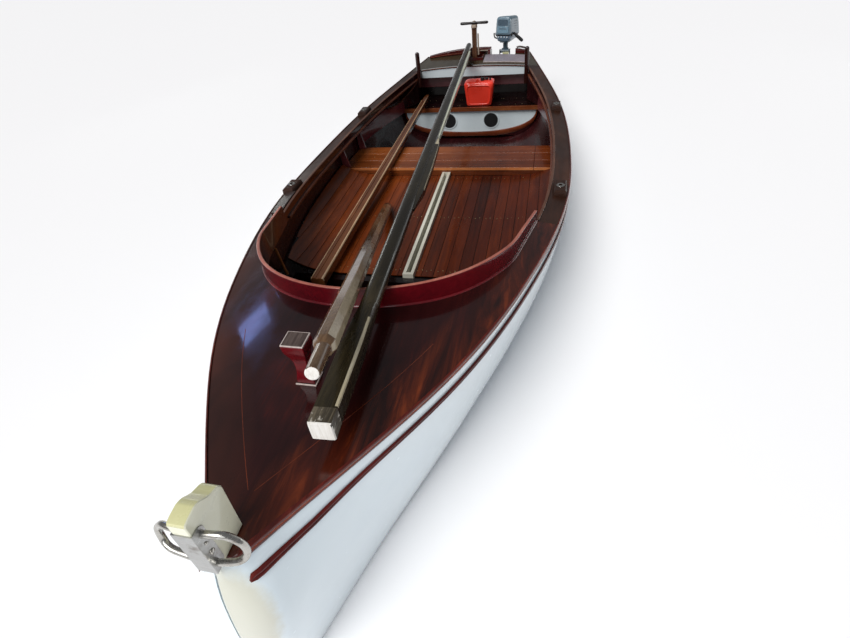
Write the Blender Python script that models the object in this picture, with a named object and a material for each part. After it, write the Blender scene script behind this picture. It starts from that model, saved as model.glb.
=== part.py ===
"""Decked open sailing boat with oval coaming, centreboard, rudder and outboard.

Metres. X is to port, Y is aft, Z is up. The origin is amidships on the
waterline. Lengths along the boat are first given as s, measured aft from
the stem head, and are shifted to Y where the meshes are made.
"""
import math

import bpy
import bmesh
from mathutils import Matrix, Vector

# Main dimensions
LENGTH = 5.00
SHELL = 0.022
DECK = 0.012
GAP = 0.0004
RAIL_WIDTH = 0.012
SIDE_DECK = 0.100

# Sheer: half breadth to the outer edge of the gunwale, and height
SHEER_S = [0.0, 0.25, 0.7, 1.3, 2.0, 2.8, 3.6, 4.4, 5.2]
SHEER_X = [0.020, 0.190, 0.454, 0.679, 0.836, 0.877, 0.825, 0.666, 0.463]
HEIGHT_S = [0.0, 1.3, 2.6, 3.9, 5.2]
HEIGHT_Z = [0.692, 0.584, 0.490, 0.485, 0.550]

# Bottom of the hull on the centreline
KEEL_S = [0.0, 0.1, 0.3, 0.8, 1.6, 2.5, 3.3, 3.9, 4.3, 4.7, 5.0]
KEEL_Z = [-0.150, -0.235, -0.275, -0.300, -0.310, -0.300, -0.235, -0.140, -0.055, 0.015, 0.060]

# How far the stem stands ahead of the stem head at each height
STEM_Z = [-0.300, -0.150, 0.0, 0.2, 0.39, 0.45, 0.545, 0.617, 0.67, 0.70]
STEM_S = [0.060, 0.0, -0.070, -0.100, -0.090, -0.080, -0.060, -0.040, -0.020, -0.010]

# Cockpit
COCKPIT_FRONT = 0.967
COAMING_END = 1.803
COAMING_X = [0.0, 0.249, 0.454, 0.586, 0.633, 0.692]
COAMING_S = [0.967, 1.019, 1.169, 1.375, 1.534, 1.803]
COAMING_TOP_FRONT = 0.752
COAMING_TOP_END = 0.618
COAMING_THICK = 0.016
AFT_DECK_S = 4.600
STEM_HALF = 0.024
RING_ROD = 0.009
RING_PATH = ((0.030, -0.0115, 0.7234), (0.060, -0.0105, 0.7345), (0.090, -0.0080, 0.7480),
             (0.108, 0.0010, 0.7600), (0.1135, 0.0085, 0.7820), (0.108, 0.0115, 0.8060),
             (0.096, 0.0115, 0.8200), (0.082, 0.0100, 0.8340), (0.060, 0.0060, 0.8400),
             (0.030, 0.0040, 0.8380))
TRANSOM = 0.025
HULL_BUTT_S = 2.350
SOLE_Z = 0.200
SOLE_FRONT = 1.780
CROSS_FRONT = 3.035
CROSS_AFT = 3.420
CROSS_Z = 0.262
SEAT_S = 4.300
SEAT_Z = 0.262
SEAT_GROOVES = (0.42, 0.235, -0.06, -0.42)

# Centreboard and its case
SLOT_FRONT = 1.757
SLOT_AFT = 3.051
SLOT_HALF = 0.013
CASE_HALF = 0.031
CASE_Z = 0.227
BOARD_THICK = 0.012
BOARD_PIVOT = (1.93, -0.200)

# Rudder
RUDDER_S = 4.776
STOCK_R = 0.013

# Outboard motor, port of the rudder in a notch of the transom
MOTOR_X = 0.262
NOTCH = (0.139, 0.372)
NOTCH_Z = 0.500
TILT_AXIS = (5.045, 0.545)
MOTOR_STEER_S = 5.110
MOTOR_TURN = -18.0
PROP_Z = -0.150

# Spars that lie on board
MAST = ((0.184, 0.312, 0.8091), (-0.0785, 4.958, 0.6362))
YARD = ((0.212, 0.3255, 1.0279), (-0.3300, 2.5448, 0.2152))
BOOM = ((-0.488, 1.618, 0.2435), (-0.4185, 4.433, 0.3375))

COLOURS = {
    "hull_white": (0.80, 0.86, 0.88, 1),
    "mahogany": (0.12, 0.030, 0.014, 1),
    "mahogany_sole": (0.20, 0.065, 0.025, 1),
    "crimson": (0.20, 0.012, 0.014, 1),
    "cream": (0.78, 0.76, 0.64, 1),
    "dark_spar": (0.045, 0.035, 0.022, 1),
    "steel": (0.55, 0.55, 0.55, 1),
    "red_plastic": (0.72, 0.03, 0.02, 1),
    "black": (0.015, 0.015, 0.016, 1),
    "cowl_grey": (0.20, 0.27, 0.31, 1),
}


def clear_scene():
    for obj in list(bpy.data.objects):
        bpy.data.objects.remove(obj, do_unlink=True)


def make_curve(xs, ys):
    """Natural cubic spline through the given points."""
    n = len(xs)
    h = [xs[i + 1] - xs[i] for i in range(n - 1)]
    second = [0.0] * n
    low = [0.0] * n
    diag = [1.0] * n
    rhs = [0.0] * n
    for i in range(1, n - 1):
        slope = (ys[i + 1] - ys[i]) / h[i] - (ys[i] - ys[i - 1]) / h[i - 1]
        pivot = 2 * (h[i] + h[i - 1]) - h[i - 1] * low[i - 1]
        low[i] = h[i] / pivot
        rhs[i] = (6 * slope - h[i - 1] * rhs[i - 1]) / pivot
        diag[i] = pivot
    for i in range(n - 2, 0, -1):
        second[i] = rhs[i] - low[i] * second[i + 1]

    def value(x):
        i = 0
        while i < n - 2 and x > xs[i + 1]:
            i += 1
        a = (xs[i + 1] - x) / h[i]
        b = (x - xs[i]) / h[i]
        bend = (a ** 3 - a) * second[i] + (b ** 3 - b) * second[i + 1]
        return a * ys[i] + b * ys[i + 1] + bend * h[i] ** 2 / 6

    return value


def straight(xs, ys):
    """Straight-line table lookup, held at both ends."""
    def value(x):
        if x <= xs[0]:
            return ys[0]
        for i in range(len(xs) - 1):
            if x <= xs[i + 1]:
                t = (x - xs[i]) / (xs[i + 1] - xs[i])
                return ys[i] + t * (ys[i + 1] - ys[i])
        return ys[-1]

    return value


rail_half = make_curve(SHEER_S, SHEER_X)
sheer_z = make_curve(HEIGHT_S, HEIGHT_Z)
keel_z = make_curve(KEEL_S, KEEL_Z)
stem_shift = make_curve(STEM_Z, STEM_S)
fullness = straight([0.0, 1.0, 2.0, 3.0, 4.3, 5.0], [1.8, 2.0, 2.4, 3.0, 3.8, 4.0])


def nose(s):
    """Rounded nose in plan, from 0 at the stem to 1 after 5 cm."""
    t = min(max(s, 0.0), 0.05) / 0.05
    return math.sqrt(1 - (1 - t) ** 2)


def hull_half(s, z):
    """Half breadth of the outside of the hull at station s and height z."""
    top = sheer_z(s)
    low = keel_z(s)
    part = min(max((z - low) / (top - low), 0.0), 1.0)
    power = fullness(s)
    width = max(rail_half(s) - RAIL_WIDTH, 0.012)
    swell = 0.055 * max(0.0, 1 - s / 1.1) ** 2 * math.sin(math.pi * part ** 0.7)
    swell += 0.060 * max(0.0, 1 - s / 0.4) ** 2 * math.sin(math.pi * part ** 3)
    return nose(s) * (width * (1 - (1 - part) ** power) ** (1 / power) + swell)


def inner_half(s, z):
    """Half breadth of the inside of the shell."""
    slope = (hull_half(s, z + 0.004) - hull_half(s, z - 0.004)) / 0.008
    return hull_half(s, z) - SHELL * math.sqrt(1 + slope * slope)


def hull_s(s, z):
    """Station moved forward near the stem, where the stem is curved."""
    fade = max(0.0, 1 - s / 0.5) ** 2
    return s + fade * stem_shift(max(z, -0.30))


def deck_z(x, s):
    """Top of the cambered deck."""
    width = max(rail_half(s) - RAIL_WIDTH, 0.02)
    crown = straight([0.0, 3.9, 4.6, 5.0], [0.10, 0.09, 0.05, 0.05])(s)
    return sheer_z(s) + crown * width * (1 - min(1.0, (x / width) ** 2))


def deck_facet(x, s):
    """Height of the deck's flat facets, straight between two stations."""
    near = [0.0] + [a for a in STATIONS if a <= s]
    far = [a for a in STATIONS if a > s] + [LENGTH]
    part = (s - near[-1]) / (far[0] - near[-1])
    low = deck_z(x, near[-1])
    return low + part * (deck_z(x, far[0]) - low)


def material(name):
    mat = bpy.data.materials.get(name)
    if mat is None:
        mat = bpy.data.materials.new(name)
        mat.use_nodes = True
        shader = mat.node_tree.nodes["Principled BSDF"]
        shader.inputs["Base Color"].default_value = COLOURS[name.split("__")[-1]]
        shader.inputs["Roughness"].default_value = 0.3
        if name.endswith("steel"):
            shader.inputs["Metallic"].default_value = 1.0
    return mat


def finish(name, bm, colour, smooth=False):
    """Make one closed object from a bmesh given in s coordinates."""
    bmesh.ops.remove_doubles(bm, verts=bm.verts, dist=1e-6)
    bmesh.ops.translate(bm, verts=bm.verts, vec=(0, -LENGTH / 2, 0))
    bmesh.ops.recalc_face_normals(bm, faces=bm.faces)
    mesh = bpy.data.meshes.new(name)
    bm.to_mesh(mesh)
    bm.free()
    for polygon in mesh.polygons:
        polygon.use_smooth = smooth
    obj = bpy.data.objects.new(name, mesh)
    obj.data.materials.append(material(name + "__" + colour))
    bpy.context.scene.collection.objects.link(obj)
    return obj


def add_loft(bm, rings):
    """Skin closed rings of equal length and cap both ends."""
    loops = [[bm.verts.new(p) for p in ring] for ring in rings]
    count = len(loops[0])
    for a, b in zip(loops, loops[1:]):
        for i in range(count):
            j = (i + 1) % count
            bm.faces.new((a[i], a[j], b[j], b[i]))
    bm.faces.new(loops[0])
    bm.faces.new(loops[-1])


def loft(name, rings, colour, smooth=False):
    bm = bmesh.new()
    add_loft(bm, rings)
    return finish(name, bm, colour, smooth)


def add_box(bm, x0, x1, s0, s1, z0, z1):
    ring = [(x0, s0), (x1, s0), (x1, s1), (x0, s1)]
    add_loft(bm, [[(x, s, z0) for x, s in ring], [(x, s, z1) for x, s in ring]])


def box(name, x0, x1, s0, s1, z0, z1, colour):
    bm = bmesh.new()
    add_box(bm, x0, x1, s0, s1, z0, z1)
    return finish(name, bm, colour)


def plate_x(name, outline, x0, x1, colour):
    """Plate with an outline of (s, z) points between two planes of x."""
    return loft(name, [[(x, s, z) for s, z in outline] for x in (x0, x1)], colour)


def plate_s(name, outline, s0, s1, colour):
    """Plate with an outline of (x, z) points between two stations."""
    return loft(name, [[(x, s, z) for x, z in outline] for s in (s0, s1)], colour)


def plate_z(name, outline, z0, z1, colour):
    """Plate with an outline of (x, s) points between two heights."""
    return loft(name, [[(x, s, z) for x, s in outline] for z in (z0, z1)], colour)


def combine(target, other, operation):
    """Apply a Boolean of two closed solids to the first and drop the second."""
    mod = target.modifiers.new("combine", "BOOLEAN")
    mod.operation = operation
    mod.solver = "EXACT"
    mod.object = other
    graph = bpy.context.evaluated_depsgraph_get()
    mesh = bpy.data.meshes.new_from_object(target.evaluated_get(graph))
    bm = bmesh.new()
    bm.from_mesh(mesh)
    bmesh.ops.remove_doubles(bm, verts=bm.verts, dist=1e-6)
    bm.to_mesh(mesh)
    bm.free()
    target.modifiers.clear()
    target.data = mesh
    bpy.data.objects.remove(other, do_unlink=True)


def subtract(target, cutter):
    combine(target, cutter, "DIFFERENCE")


def unite(target, other):
    combine(target, other, "UNION")


def circle_rings(start, end, radii, count, flat=0.0):
    """Rings of given radii between two points; radii are (t, radius) pairs."""
    a = Vector(start)
    b = Vector(end)
    axis = (b - a).normalized()
    side = axis.cross(Vector((0, 0, 1)))
    if side.length < 0.01:
        side = Vector((1, 0, 0))
    side.normalize()
    up = side.cross(axis).normalized()
    rings = []
    for t, radius in radii:
        centre = a.lerp(b, t)
        ring = []
        for k in range(count):
            angle = 2 * math.pi * (k + flat) / count
            ring.append(centre + radius * (math.cos(angle) * side + math.sin(angle) * up))
        rings.append(ring)
    return rings


def rod(name, start, end, radius, colour, count):
    rings = circle_rings(start, end, [(0, radius), (1, radius)], count)
    return loft(name, rings, colour, True)


def side_name(base, sign):
    return base + ("_port" if sign > 0 else "_starboard")


STATIONS = [0.0, 0.006, 0.02, 0.05, 0.10, 0.17, 0.26, 0.38, 0.52, 0.70, 0.90, 1.12]
STATIONS += [1.35, 1.60, 1.803, 2.00, 2.20, 2.50, 2.80, 3.10, 3.40, 3.70, 4.00, 4.30, 4.60]
HULL_AFT = LENGTH - TRANSOM - GAP
STATIONS += [4.82, HULL_AFT]
GIRTH = 13


def section_height(s, k, low):
    """Height of the k-th point of a section, closer together at the bilge."""
    angle = math.pi / 2 * k / GIRTH
    return low + (sheer_z(s) - low) * (1 - max(0.0, math.cos(angle)) ** (2 / fullness(s)))


def hull_ring(s, top_drop):
    """Outside of one section from the port edge under the keel to starboard."""
    top = sheer_z(s)
    ring = []
    for k in range(GIRTH + 1):
        z = min(section_height(s, k, keel_z(s)), top - top_drop)
        ring.append((hull_half(s, z), hull_s(s, z), z))
    starboard = [(-x, y, z) for x, y, z in ring[1:]]
    return list(reversed(ring)) + starboard


def inner_ring(s):
    """Inside of one section, open above the sheer."""
    top = sheer_z(s)
    ring = []
    for k in range(GIRTH + 1):
        z = section_height(s, k, keel_z(s) + SHELL)
        x = 0.0 if k == 0 else max(inner_half(s, z), 0.002 * k)
        ring.append((x, hull_s(s, z), z))
    ring.append((ring[-1][0], hull_s(s, top), top + 0.1))
    starboard = [(-x, y, z) for x, y, z in ring[1:]]
    return list(reversed(ring)) + starboard


def make_hull():
    """Hull skin in four quarters, butted on the centreline and amidships."""
    rings = [hull_ring(s, DECK + GAP) for s in STATIONS]
    hull = loft("hull_whole", rings, "hull_white", True)
    inner = [s for s in STATIONS if 0.15 < s < 4.9] + [HULL_AFT + 0.05]
    hollow = [inner_ring(s) for s in inner]
    front = max(y for x, y, z in hollow[0])
    hollow[0] = [(x, front, z) for x, y, z in hollow[0]]
    subtract(hull, loft("hull_hollow", hollow, "hull_white"))
    slot = (-SLOT_HALF, SLOT_HALF, SLOT_FRONT + 0.02, SLOT_AFT - 0.02, -0.6, 0.0)
    subtract(hull, box("hull_slot", *slot, "hull_white"))
    bore = circle_rings((0, RUDDER_S, -0.2), (0, RUDDER_S, 0.2), [(0, 0.019), (1, 0.019)], 20)
    subtract(hull, loft("hull_bore", bore, "hull_white"))
    for polygon in hull.data.polygons:
        polygon.use_smooth = True
    half_gap = GAP / 2
    ends = (("hull_fore", -0.2, HULL_BUTT_S - half_gap), ("hull_aft", HULL_BUTT_S + half_gap, LENGTH))
    for end, near, far in ends:
        for sign in (1, -1):
            quarter = hull.copy()
            quarter.data = hull.data.copy()
            quarter.name = side_name(end, sign)
            bpy.context.scene.collection.objects.link(quarter)
            quarter.data.materials[0] = material(quarter.name + "__hull_white")
            x0, x1 = sorted((sign * half_gap, sign * 1.0))
            combine(quarter, box("keep", x0, x1, near, far, -1, 1, "hull_white"), "INTERSECT")
    bpy.data.objects.remove(hull, do_unlink=True)


def make_keel():
    """Plank keel under the hull, deep enough aft to carry the rudder."""
    stations = [0.42, 0.7, 1.1, 1.5, 2.0, 2.5, 3.0, 3.4, 3.8, 4.1, 4.4, 4.60]
    rings = []
    for s in stations:
        top = keel_z(s) - 0.0033
        low = min(-0.355, top - 0.03)
        if s < 0.6:
            low = -0.31
        w = 0.024
        rings.append([(w, s, top), (w, s, low), (-w, s, low), (-w, s, top)])
    keel = loft("keel", rings, "hull_white")
    slot = (-SLOT_HALF, SLOT_HALF, SLOT_FRONT + 0.02, SLOT_AFT - 0.02, -0.6, 0.0)
    subtract(keel, box("keel_slot", *slot, "hull_white"))


def make_transom():
    """Transom board with an arched top and the notch for the motor."""
    outline = []
    for k in range(GIRTH, -1, -1):
        z = section_height(LENGTH, k, keel_z(LENGTH))
        outline.append((-hull_half(LENGTH, z), z))
    outline += [(-x, z) for x, z in reversed(outline[:-1])]

    def arch(x):
        return sheer_z(LENGTH) + 0.045 * (1 - (x / 0.51) ** 2)

    for x in (0.47, 0.42, NOTCH[1]):
        outline.append((x, arch(x)))
    outline += [(NOTCH[1], NOTCH_Z), (NOTCH[0], NOTCH_Z)]
    for x in (NOTCH[0], 0.06, -0.04, -0.14, -0.24, -0.34, -0.43):
        outline.append((x, arch(x)))
    plate_s("transom", outline, LENGTH - TRANSOM, LENGTH, "mahogany")


def make_stem():
    lean = 0.065

    def front(z):
        return -0.0255 + (z - 0.697) * lean

    rail_top = sheer_z(0.02) + 0.004
    foot = max([rail_top] + [deck_z(0.0, s) for s in (0.006, 0.02, 0.05, 0.10)]) + GAP
    head = [(front(foot), foot), (0.094, foot), (0.110, 0.852), (0.100, 0.868)]
    head += [(0.072, 0.880), (0.050, 0.898), (0.030, 0.906), (front(0.894), 0.894)]
    post = plate_x("stem_head", head, -STEM_HALF, STEM_HALF, "cream")
    inner = STEM_HALF + GAP
    outer = inner + 0.0026
    rings = []
    for z, reach in ((0.698, 0.022), (0.708, 0.0345), (0.852, 0.0345), (0.862, 0.022)):
        web = front(z) - GAP
        ring = [(outer, web - 0.003, z), (outer, web + reach, z), (inner, web + reach, z)]
        ring += [(inner, web, z)]
        rings.append(ring + [(-x, s, z) for x, s, z in reversed(ring)])
    strap = loft("stem_band", rings, "steel")
    half = [Vector(p) for p in RING_PATH]
    path = half + [Vector((-p.x, p.y, p.z)) for p in reversed(half)]
    bm = bmesh.new()
    loops = []
    count = 8
    for k, point in enumerate(path):
        tangent = (path[(k + 1) % len(path)] - path[k - 1]).normalized()
        normal = tangent.cross(Vector((0, 1, 0))).normalized()
        other = tangent.cross(normal)
        ring = []
        for j in range(count):
            angle = 2 * math.pi * j / count
            ring.append(bm.verts.new(point + RING_ROD * (math.cos(angle) * normal + math.sin(angle) * other)))
        loops.append(ring)
    for k, a in enumerate(loops):
        b = loops[(k + 1) % len(loops)]
        for j in range(count):
            i = (j + 1) % count
            bm.faces.new((a[j], a[i], b[i], b[j]))
    finish("bow_ring", bm, "steel", True)
    radius = RING_ROD + 2 * GAP
    for node in (post, strap):
        for s, z in (RING_PATH[0][1:], RING_PATH[-1][1:]):
            bore = circle_rings((-0.04, s, z), (0.04, s, z), [(0, radius), (1, radius)], 20)
            subtract(node, loft("ring_bore", bore, "steel"))


def coaming_path(count):
    """Plan of the oval coaming from the starboard end round to port."""
    index = [i / 5 for i in range(6)]
    across = make_curve([-i for i in reversed(index)] + index[1:],
                        [-x for x in reversed(COAMING_X)] + COAMING_X[1:])
    along = make_curve([-i for i in reversed(index)] + index[1:],
                       list(reversed(COAMING_S)) + COAMING_S[1:])
    ts = [2 * k / (count - 1) - 1 for k in range(count)]
    return [Vector((across(t), along(t), 0)) for t in ts]


def offset_path(path, distance):
    """Move a plan curve outward by a distance."""
    moved = []
    for k, point in enumerate(path):
        a = path[max(k - 1, 0)]
        b = path[min(k + 1, len(path) - 1)]
        tangent = (b - a).normalized()
        moved.append(point + distance * Vector((tangent.y, -tangent.x, 0)))
    return moved


def coaming_top(s):
    t = (s - COCKPIT_FRONT) / (COAMING_END - COCKPIT_FRONT)
    return COAMING_TOP_FRONT + t * (COAMING_TOP_END - COAMING_TOP_FRONT)


def make_coaming():
    count = 33
    path = coaming_path(count)
    inner = offset_path(path, -COAMING_THICK)
    rings = []
    for outer_point, inner_point in zip(path, inner):
        top = coaming_top(outer_point.y)
        low = deck_z(outer_point.x, outer_point.y) - DECK - 0.035
        rings.append([(outer_point.x, outer_point.y, low), (outer_point.x, outer_point.y, top),
                      (inner_point.x, inner_point.y, top), (inner_point.x, inner_point.y, low)])
    loft("coaming", rings, "crimson")


def deck_ring(s, x0, x1, across):
    """Closed ring of a deck strip from x0 to x1 at station s."""
    top = []
    low = []
    for k in range(across + 1):
        x = x0 + (x1 - x0) * k / across
        z = deck_z(x, s)
        y = hull_s(s, sheer_z(s))
        top.append((x, y, z))
        low.append((x, y, z - DECK))
    return top + list(reversed(low))


def make_decks():
    stations = [s for s in STATIONS if 0.01 < s < COAMING_END + 0.001]
    rings = []
    for s in stations:
        half = hull_half(s, sheer_z(s))
        rings.append(deck_ring(s, -half, half, 12))
    deck = loft("foredeck", rings, "mahogany", False)
    hole = offset_path(coaming_path(33), GAP)
    outline = [(p.x, p.y) for p in hole]
    outline += [(hole[-1].x, 1.95), (-hole[-1].x, 1.95)]
    subtract(deck, plate_z("deck_hole", outline, 0.4, 0.9, "mahogany"))
    side = [COAMING_END + GAP, 2.00, 2.20, 2.50, 2.80, 3.10, 3.40, 3.70, 4.00, 4.30, AFT_DECK_S - GAP]
    for sign in (1, -1):
        rings = []
        for s in side:
            half = hull_half(s, sheer_z(s))
            rings.append(deck_ring(s, sign * (rail_half(s) - SIDE_DECK), sign * half, 3))
        loft(side_name("side_deck", sign), rings, "mahogany")
        rings = []
        for s in [COAMING_END + 0.006] + side[1:]:
            x = rail_half(s) - SIDE_DECK - GAP - 0.0006
            top = deck_z(x, s) + 0.006
            low = top - 0.060
            rings.append([(sign * x, s, low), (sign * x, s, top),
                          (sign * (x - 0.016), s, top), (sign * (x - 0.016), s, low)])
        loft(side_name("cockpit_edge", sign), rings, "crimson")
    aft = [AFT_DECK_S, 4.72, 4.86, HULL_AFT]
    rings = []
    for s in aft:
        half = hull_half(s, sheer_z(s))
        rings.append(deck_ring(s, -half, half, 12))
    deck = loft("aft_deck", rings, "mahogany")
    subtract(deck, box("trunk_hole", -0.0555, 0.0805, 4.7295, 4.8655, 0.3, 0.8, "mahogany"))
    subtract(deck, box("motor_hole", NOTCH[0], NOTCH[1], 4.90, 5.2, 0.3, 0.8, "mahogany"))


def make_rails():
    stations = [s for s in STATIONS if s > 0.019]
    stations[-1] = LENGTH
    strake = [s for s in stations if s > 0.049]
    for sign in (1, -1):
        rings = []
        for s in stations:
            z = sheer_z(s)
            low = z - 0.024
            y = hull_s(s, z)
            y_low = hull_s(s, low)
            near = 0.0014 if s < 0.4 else 0.0010
            x = hull_half(s, z) + near
            x_mid = hull_half(s, z - 0.012) + near
            x_low = hull_half(s, low) + near
            out = max(rail_half(s), x + 0.007, x_low + 0.006)
            rings.append([(sign * x_low, y_low, low), (sign * (out - 0.002), y_low, low),
                          (sign * out, (y + y_low) / 2, z - 0.012), (sign * (out - 0.003), y, z + 0.004),
                          (sign * x, y, z + 0.004), (sign * x_mid, (y + y_low) / 2, z - 0.012)])
        loft(side_name("gunwale", sign), rings, "mahogany")
        rings = []
        for s in strake:
            ring = []
            near = 0.0014 if s < 0.4 else 0.0008
            for dz, out in ((-0.010, near), (-0.006, 0.011), (0.006, 0.011), (0.010, near)):
                z = sheer_z(s) - 0.088 + dz
                ring.append((sign * (hull_half(s, z) + out), hull_s(s, z), z))
            rings.append(ring)
        loft(side_name("rubbing_strake", sign), rings, "mahogany")


def make_bitt():
    profile = [(0.685, 0.032), (0.715, 0.029), (0.745, 0.024), (0.79, 0.026), (0.825, 0.037), (0.862, 0.038)]
    rings = []
    for z, half in profile:
        ring = [(half, 0.585 - half), (half, 0.585 + half), (-half, 0.585 + half), (-half, 0.585 - half)]
        if not rings:
            rings.append([(x, s, deck_facet(0, s) + GAP) for x, s in ring])
        else:
            rings.append([(x, s, z) for x, s in ring])
    loft("mooring_bitt", rings, "crimson")


def make_sole():
    thick = 0.018
    stations = [SOLE_FRONT, 2.0, 2.3, 2.6, 2.9, CROSS_FRONT - GAP]
    lift = ((0.0, 0.0), (0.55, 0.0), (0.76, 0.014), (0.90, 0.046), (1.0, 0.092))
    for sign in (1, -1):
        rings = []
        for s in stations:
            near = CASE_HALF + GAP
            wide = inner_half(s, SOLE_Z - thick + 0.092) - 0.010
            top = [(sign * (near + (wide - near) * part), s, SOLE_Z + rise) for part, rise in lift]
            low = [(x, y, z - thick) for x, y, z in top]
            rings.append(top + low[::-1])
        loft(side_name("sole", sign), rings, "mahogany_sole")
    for name, s0, s1, top in (("fore_beam", SLOT_FRONT - 0.045, SLOT_FRONT - GAP, SOLE_Z),
                              ("aft_beam", CROSS_FRONT + 0.02, CROSS_FRONT + 0.08, CROSS_Z - 0.0224)):
        outline = []
        low = min(keel_z(s0), keel_z(s1)) + SHELL + 0.10
        low = max(low, 0.02) if name == "aft_beam" else 0.06
        for z in (low, (low + top) / 2, top):
            wide = min(inner_half(s0, z), inner_half(s1, z)) - 0.008
            outline.append((wide, z))
        outline += [(-x, z) for x, z in reversed(outline)]
        plate_s(name, outline, s0, s1, "mahogany")


def make_case():
    """Open topped case of the centreboard, from the bottom to above the sole."""
    half = CASE_HALF
    rings = []
    for s in (SLOT_FRONT, 2.00, 2.20, 2.50, 2.80, SLOT_AFT):
        low = keel_z(s) + SHELL + 0.0017
        rings.append([(half, s, low), (half, s, CASE_Z), (-half, s, CASE_Z), (-half, s, low)])
    case = loft("centreboard_case", rings, "cream")
    slot = (-SLOT_HALF, SLOT_HALF, SLOT_FRONT + 0.02, SLOT_AFT - 0.02, -1, 1)
    subtract(case, box("case_slot", *slot, "cream"))
    ps, pz = BOARD_PIVOT
    outline = [(ps - 0.09, pz - 0.10), (ps - 0.10, pz + 0.10), (ps - 0.04, pz + 0.28),
               (2.965, 0.14), (2.98, -0.10), (2.90, -0.30), (2.6, -0.335)]
    board = plate_x("centreboard", outline, -BOARD_THICK / 2, BOARD_THICK / 2, "steel")
    boss = circle_rings((-0.0125, ps, pz), (0.0125, ps, pz), [(0, 0.012), (1, 0.012)], 20)
    unite(board, loft("board_boss", boss, "steel"))


def make_cross_board():
    thick = 0.022
    low = CROSS_Z - thick
    rings = []
    for s in (CROSS_FRONT, (CROSS_FRONT + CROSS_AFT) / 2, CROSS_AFT):
        wide = inner_half(s, low) - 0.008
        rings.append([(-wide, s, low), (wide, s, low), (wide, s, CROSS_Z), (-wide, s, CROSS_Z)])
    loft("cross_board", rings, "mahogany_sole")


def make_seat():
    z1 = SEAT_Z - 0.0164
    outline = [(0.0, keel_z(SEAT_S) + SHELL + 0.03)]
    for k in range(1, 9):
        z = keel_z(SEAT_S) + SHELL + 0.03 + (z1 - keel_z(SEAT_S) - SHELL - 0.03) * (k / 8) ** 1.7
        outline.append((inner_half(SEAT_S, z) - 0.012, z))
    outline += [(-x, z) for x, z in reversed(outline[1:])]
    plate_s("seat_bulkhead", outline, SEAT_S, SEAT_S + 0.012, "hull_white")
    for sign in (1, -1):
        rings = circle_rings((sign * 0.20, SEAT_S - 0.012, 0.145), (sign * 0.20, SEAT_S - GAP, 0.145),
                             [(0, 0.064), (0.5, 0.068), (1, 0.068)], 28)
        loft(side_name("inspection_cover", sign), rings, "black")
    rings = []
    ledge = 0.0008
    for s, drop in ((SEAT_S, 0), (4.45, 0), (4.60, 0), (4.690, 0), (4.691, ledge), (4.712, ledge)):
        wide = inner_half(s, SEAT_Z - 0.016) - 0.008
        top = SEAT_Z - drop
        ring = [(-wide, s, SEAT_Z - 0.016), (wide, s, SEAT_Z - 0.016), (wide, s, top)]
        for x in SEAT_GROOVES:
            ring += [(x + 0.0008, s, top), (x, s, top - 0.002), (x - 0.0008, s, top)]
        ring.append((-wide, s, top))
        rings.append(ring)
    loft("aft_seat", rings, "mahogany")
    wide = inner_half(SEAT_S - 0.026, 0.236) - 0.010
    box("seat_rail", -wide, wide, SEAT_S - 0.026, SEAT_S - GAP, 0.236, 0.268, "mahogany_sole")
    low = SEAT_Z - ledge + 0.0005
    wide = inner_half(4.73, low) - 0.012
    plate_x("seat_back", [(4.704, low), (4.640, 0.462), (4.652, 0.466), (4.716, low)], -wide, wide, "crimson")
    rings = []
    for x in (-0.505, -0.3, -0.1, 0.1, 0.3, 0.505):
        top = deck_z(x, AFT_DECK_S) - DECK - 0.0008
        rings.append([(x, 4.602, 0.470), (x, 4.622, 0.470), (x, 4.622, top), (x, 4.602, top)])
    loft("stern_beam", rings, "hull_white")
    for sign in (1, -1):
        foot = (sign * 0.504, 4.500, 0.400)
        head = (sign * 0.502, 4.500, 0.705)
        rod(side_name("stern_post", sign), foot, head, 0.020, "mahogany", 12)
        start = Vector((sign * 0.590, 4.322, 0.2625))
        end = Vector((sign * 0.512, 4.4672, 0.440))
        corners = ((-0.010, -0.012), (0.010, -0.012), (0.010, 0.012), (-0.010, 0.012))
        rings = [[p + Vector((dx, ds, 0)) for dx, ds in corners] for p in (start, end)]
        loft(side_name("seat_arm", sign), rings, "mahogany")


def make_stern():
    """Arched rail on the aft deck, block beyond the motor, rudder trunk."""
    for name, x0, x1 in (("stern_rail", -0.480, NOTCH[0] - GAP), ("stern_block", NOTCH[1] + GAP, 0.490)):
        rings = []
        for k in range(8):
            x = x0 + (x1 - x0) * k / 7
            base = max(deck_z(x, s) for s in (4.93, 4.9745)) + 0.0012
            top = max(base + 0.012, 0.545 + 0.066 * (1 - ((x - 0.02) / 0.56) ** 2))
            rings.append([(x, 4.930, base), (x, 4.9745, base), (x, 4.9745, top), (x, 4.930, top)])
        loft(name, rings, "crimson")
    trunk = box("rudder_trunk", -0.055, 0.080, 4.730, 4.865, 0.085, 0.575, "mahogany")
    subtract(trunk, box("trunk_room", -0.043, 0.068, 4.740, 4.855, 0.11, 1.0, "mahogany"))
    bore = circle_rings((0, RUDDER_S, 0), (0, RUDDER_S, 0.2), [(0, 0.0135), (1, 0.0135)], 20)
    subtract(trunk, loft("trunk_bore", bore, "mahogany"))


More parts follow.
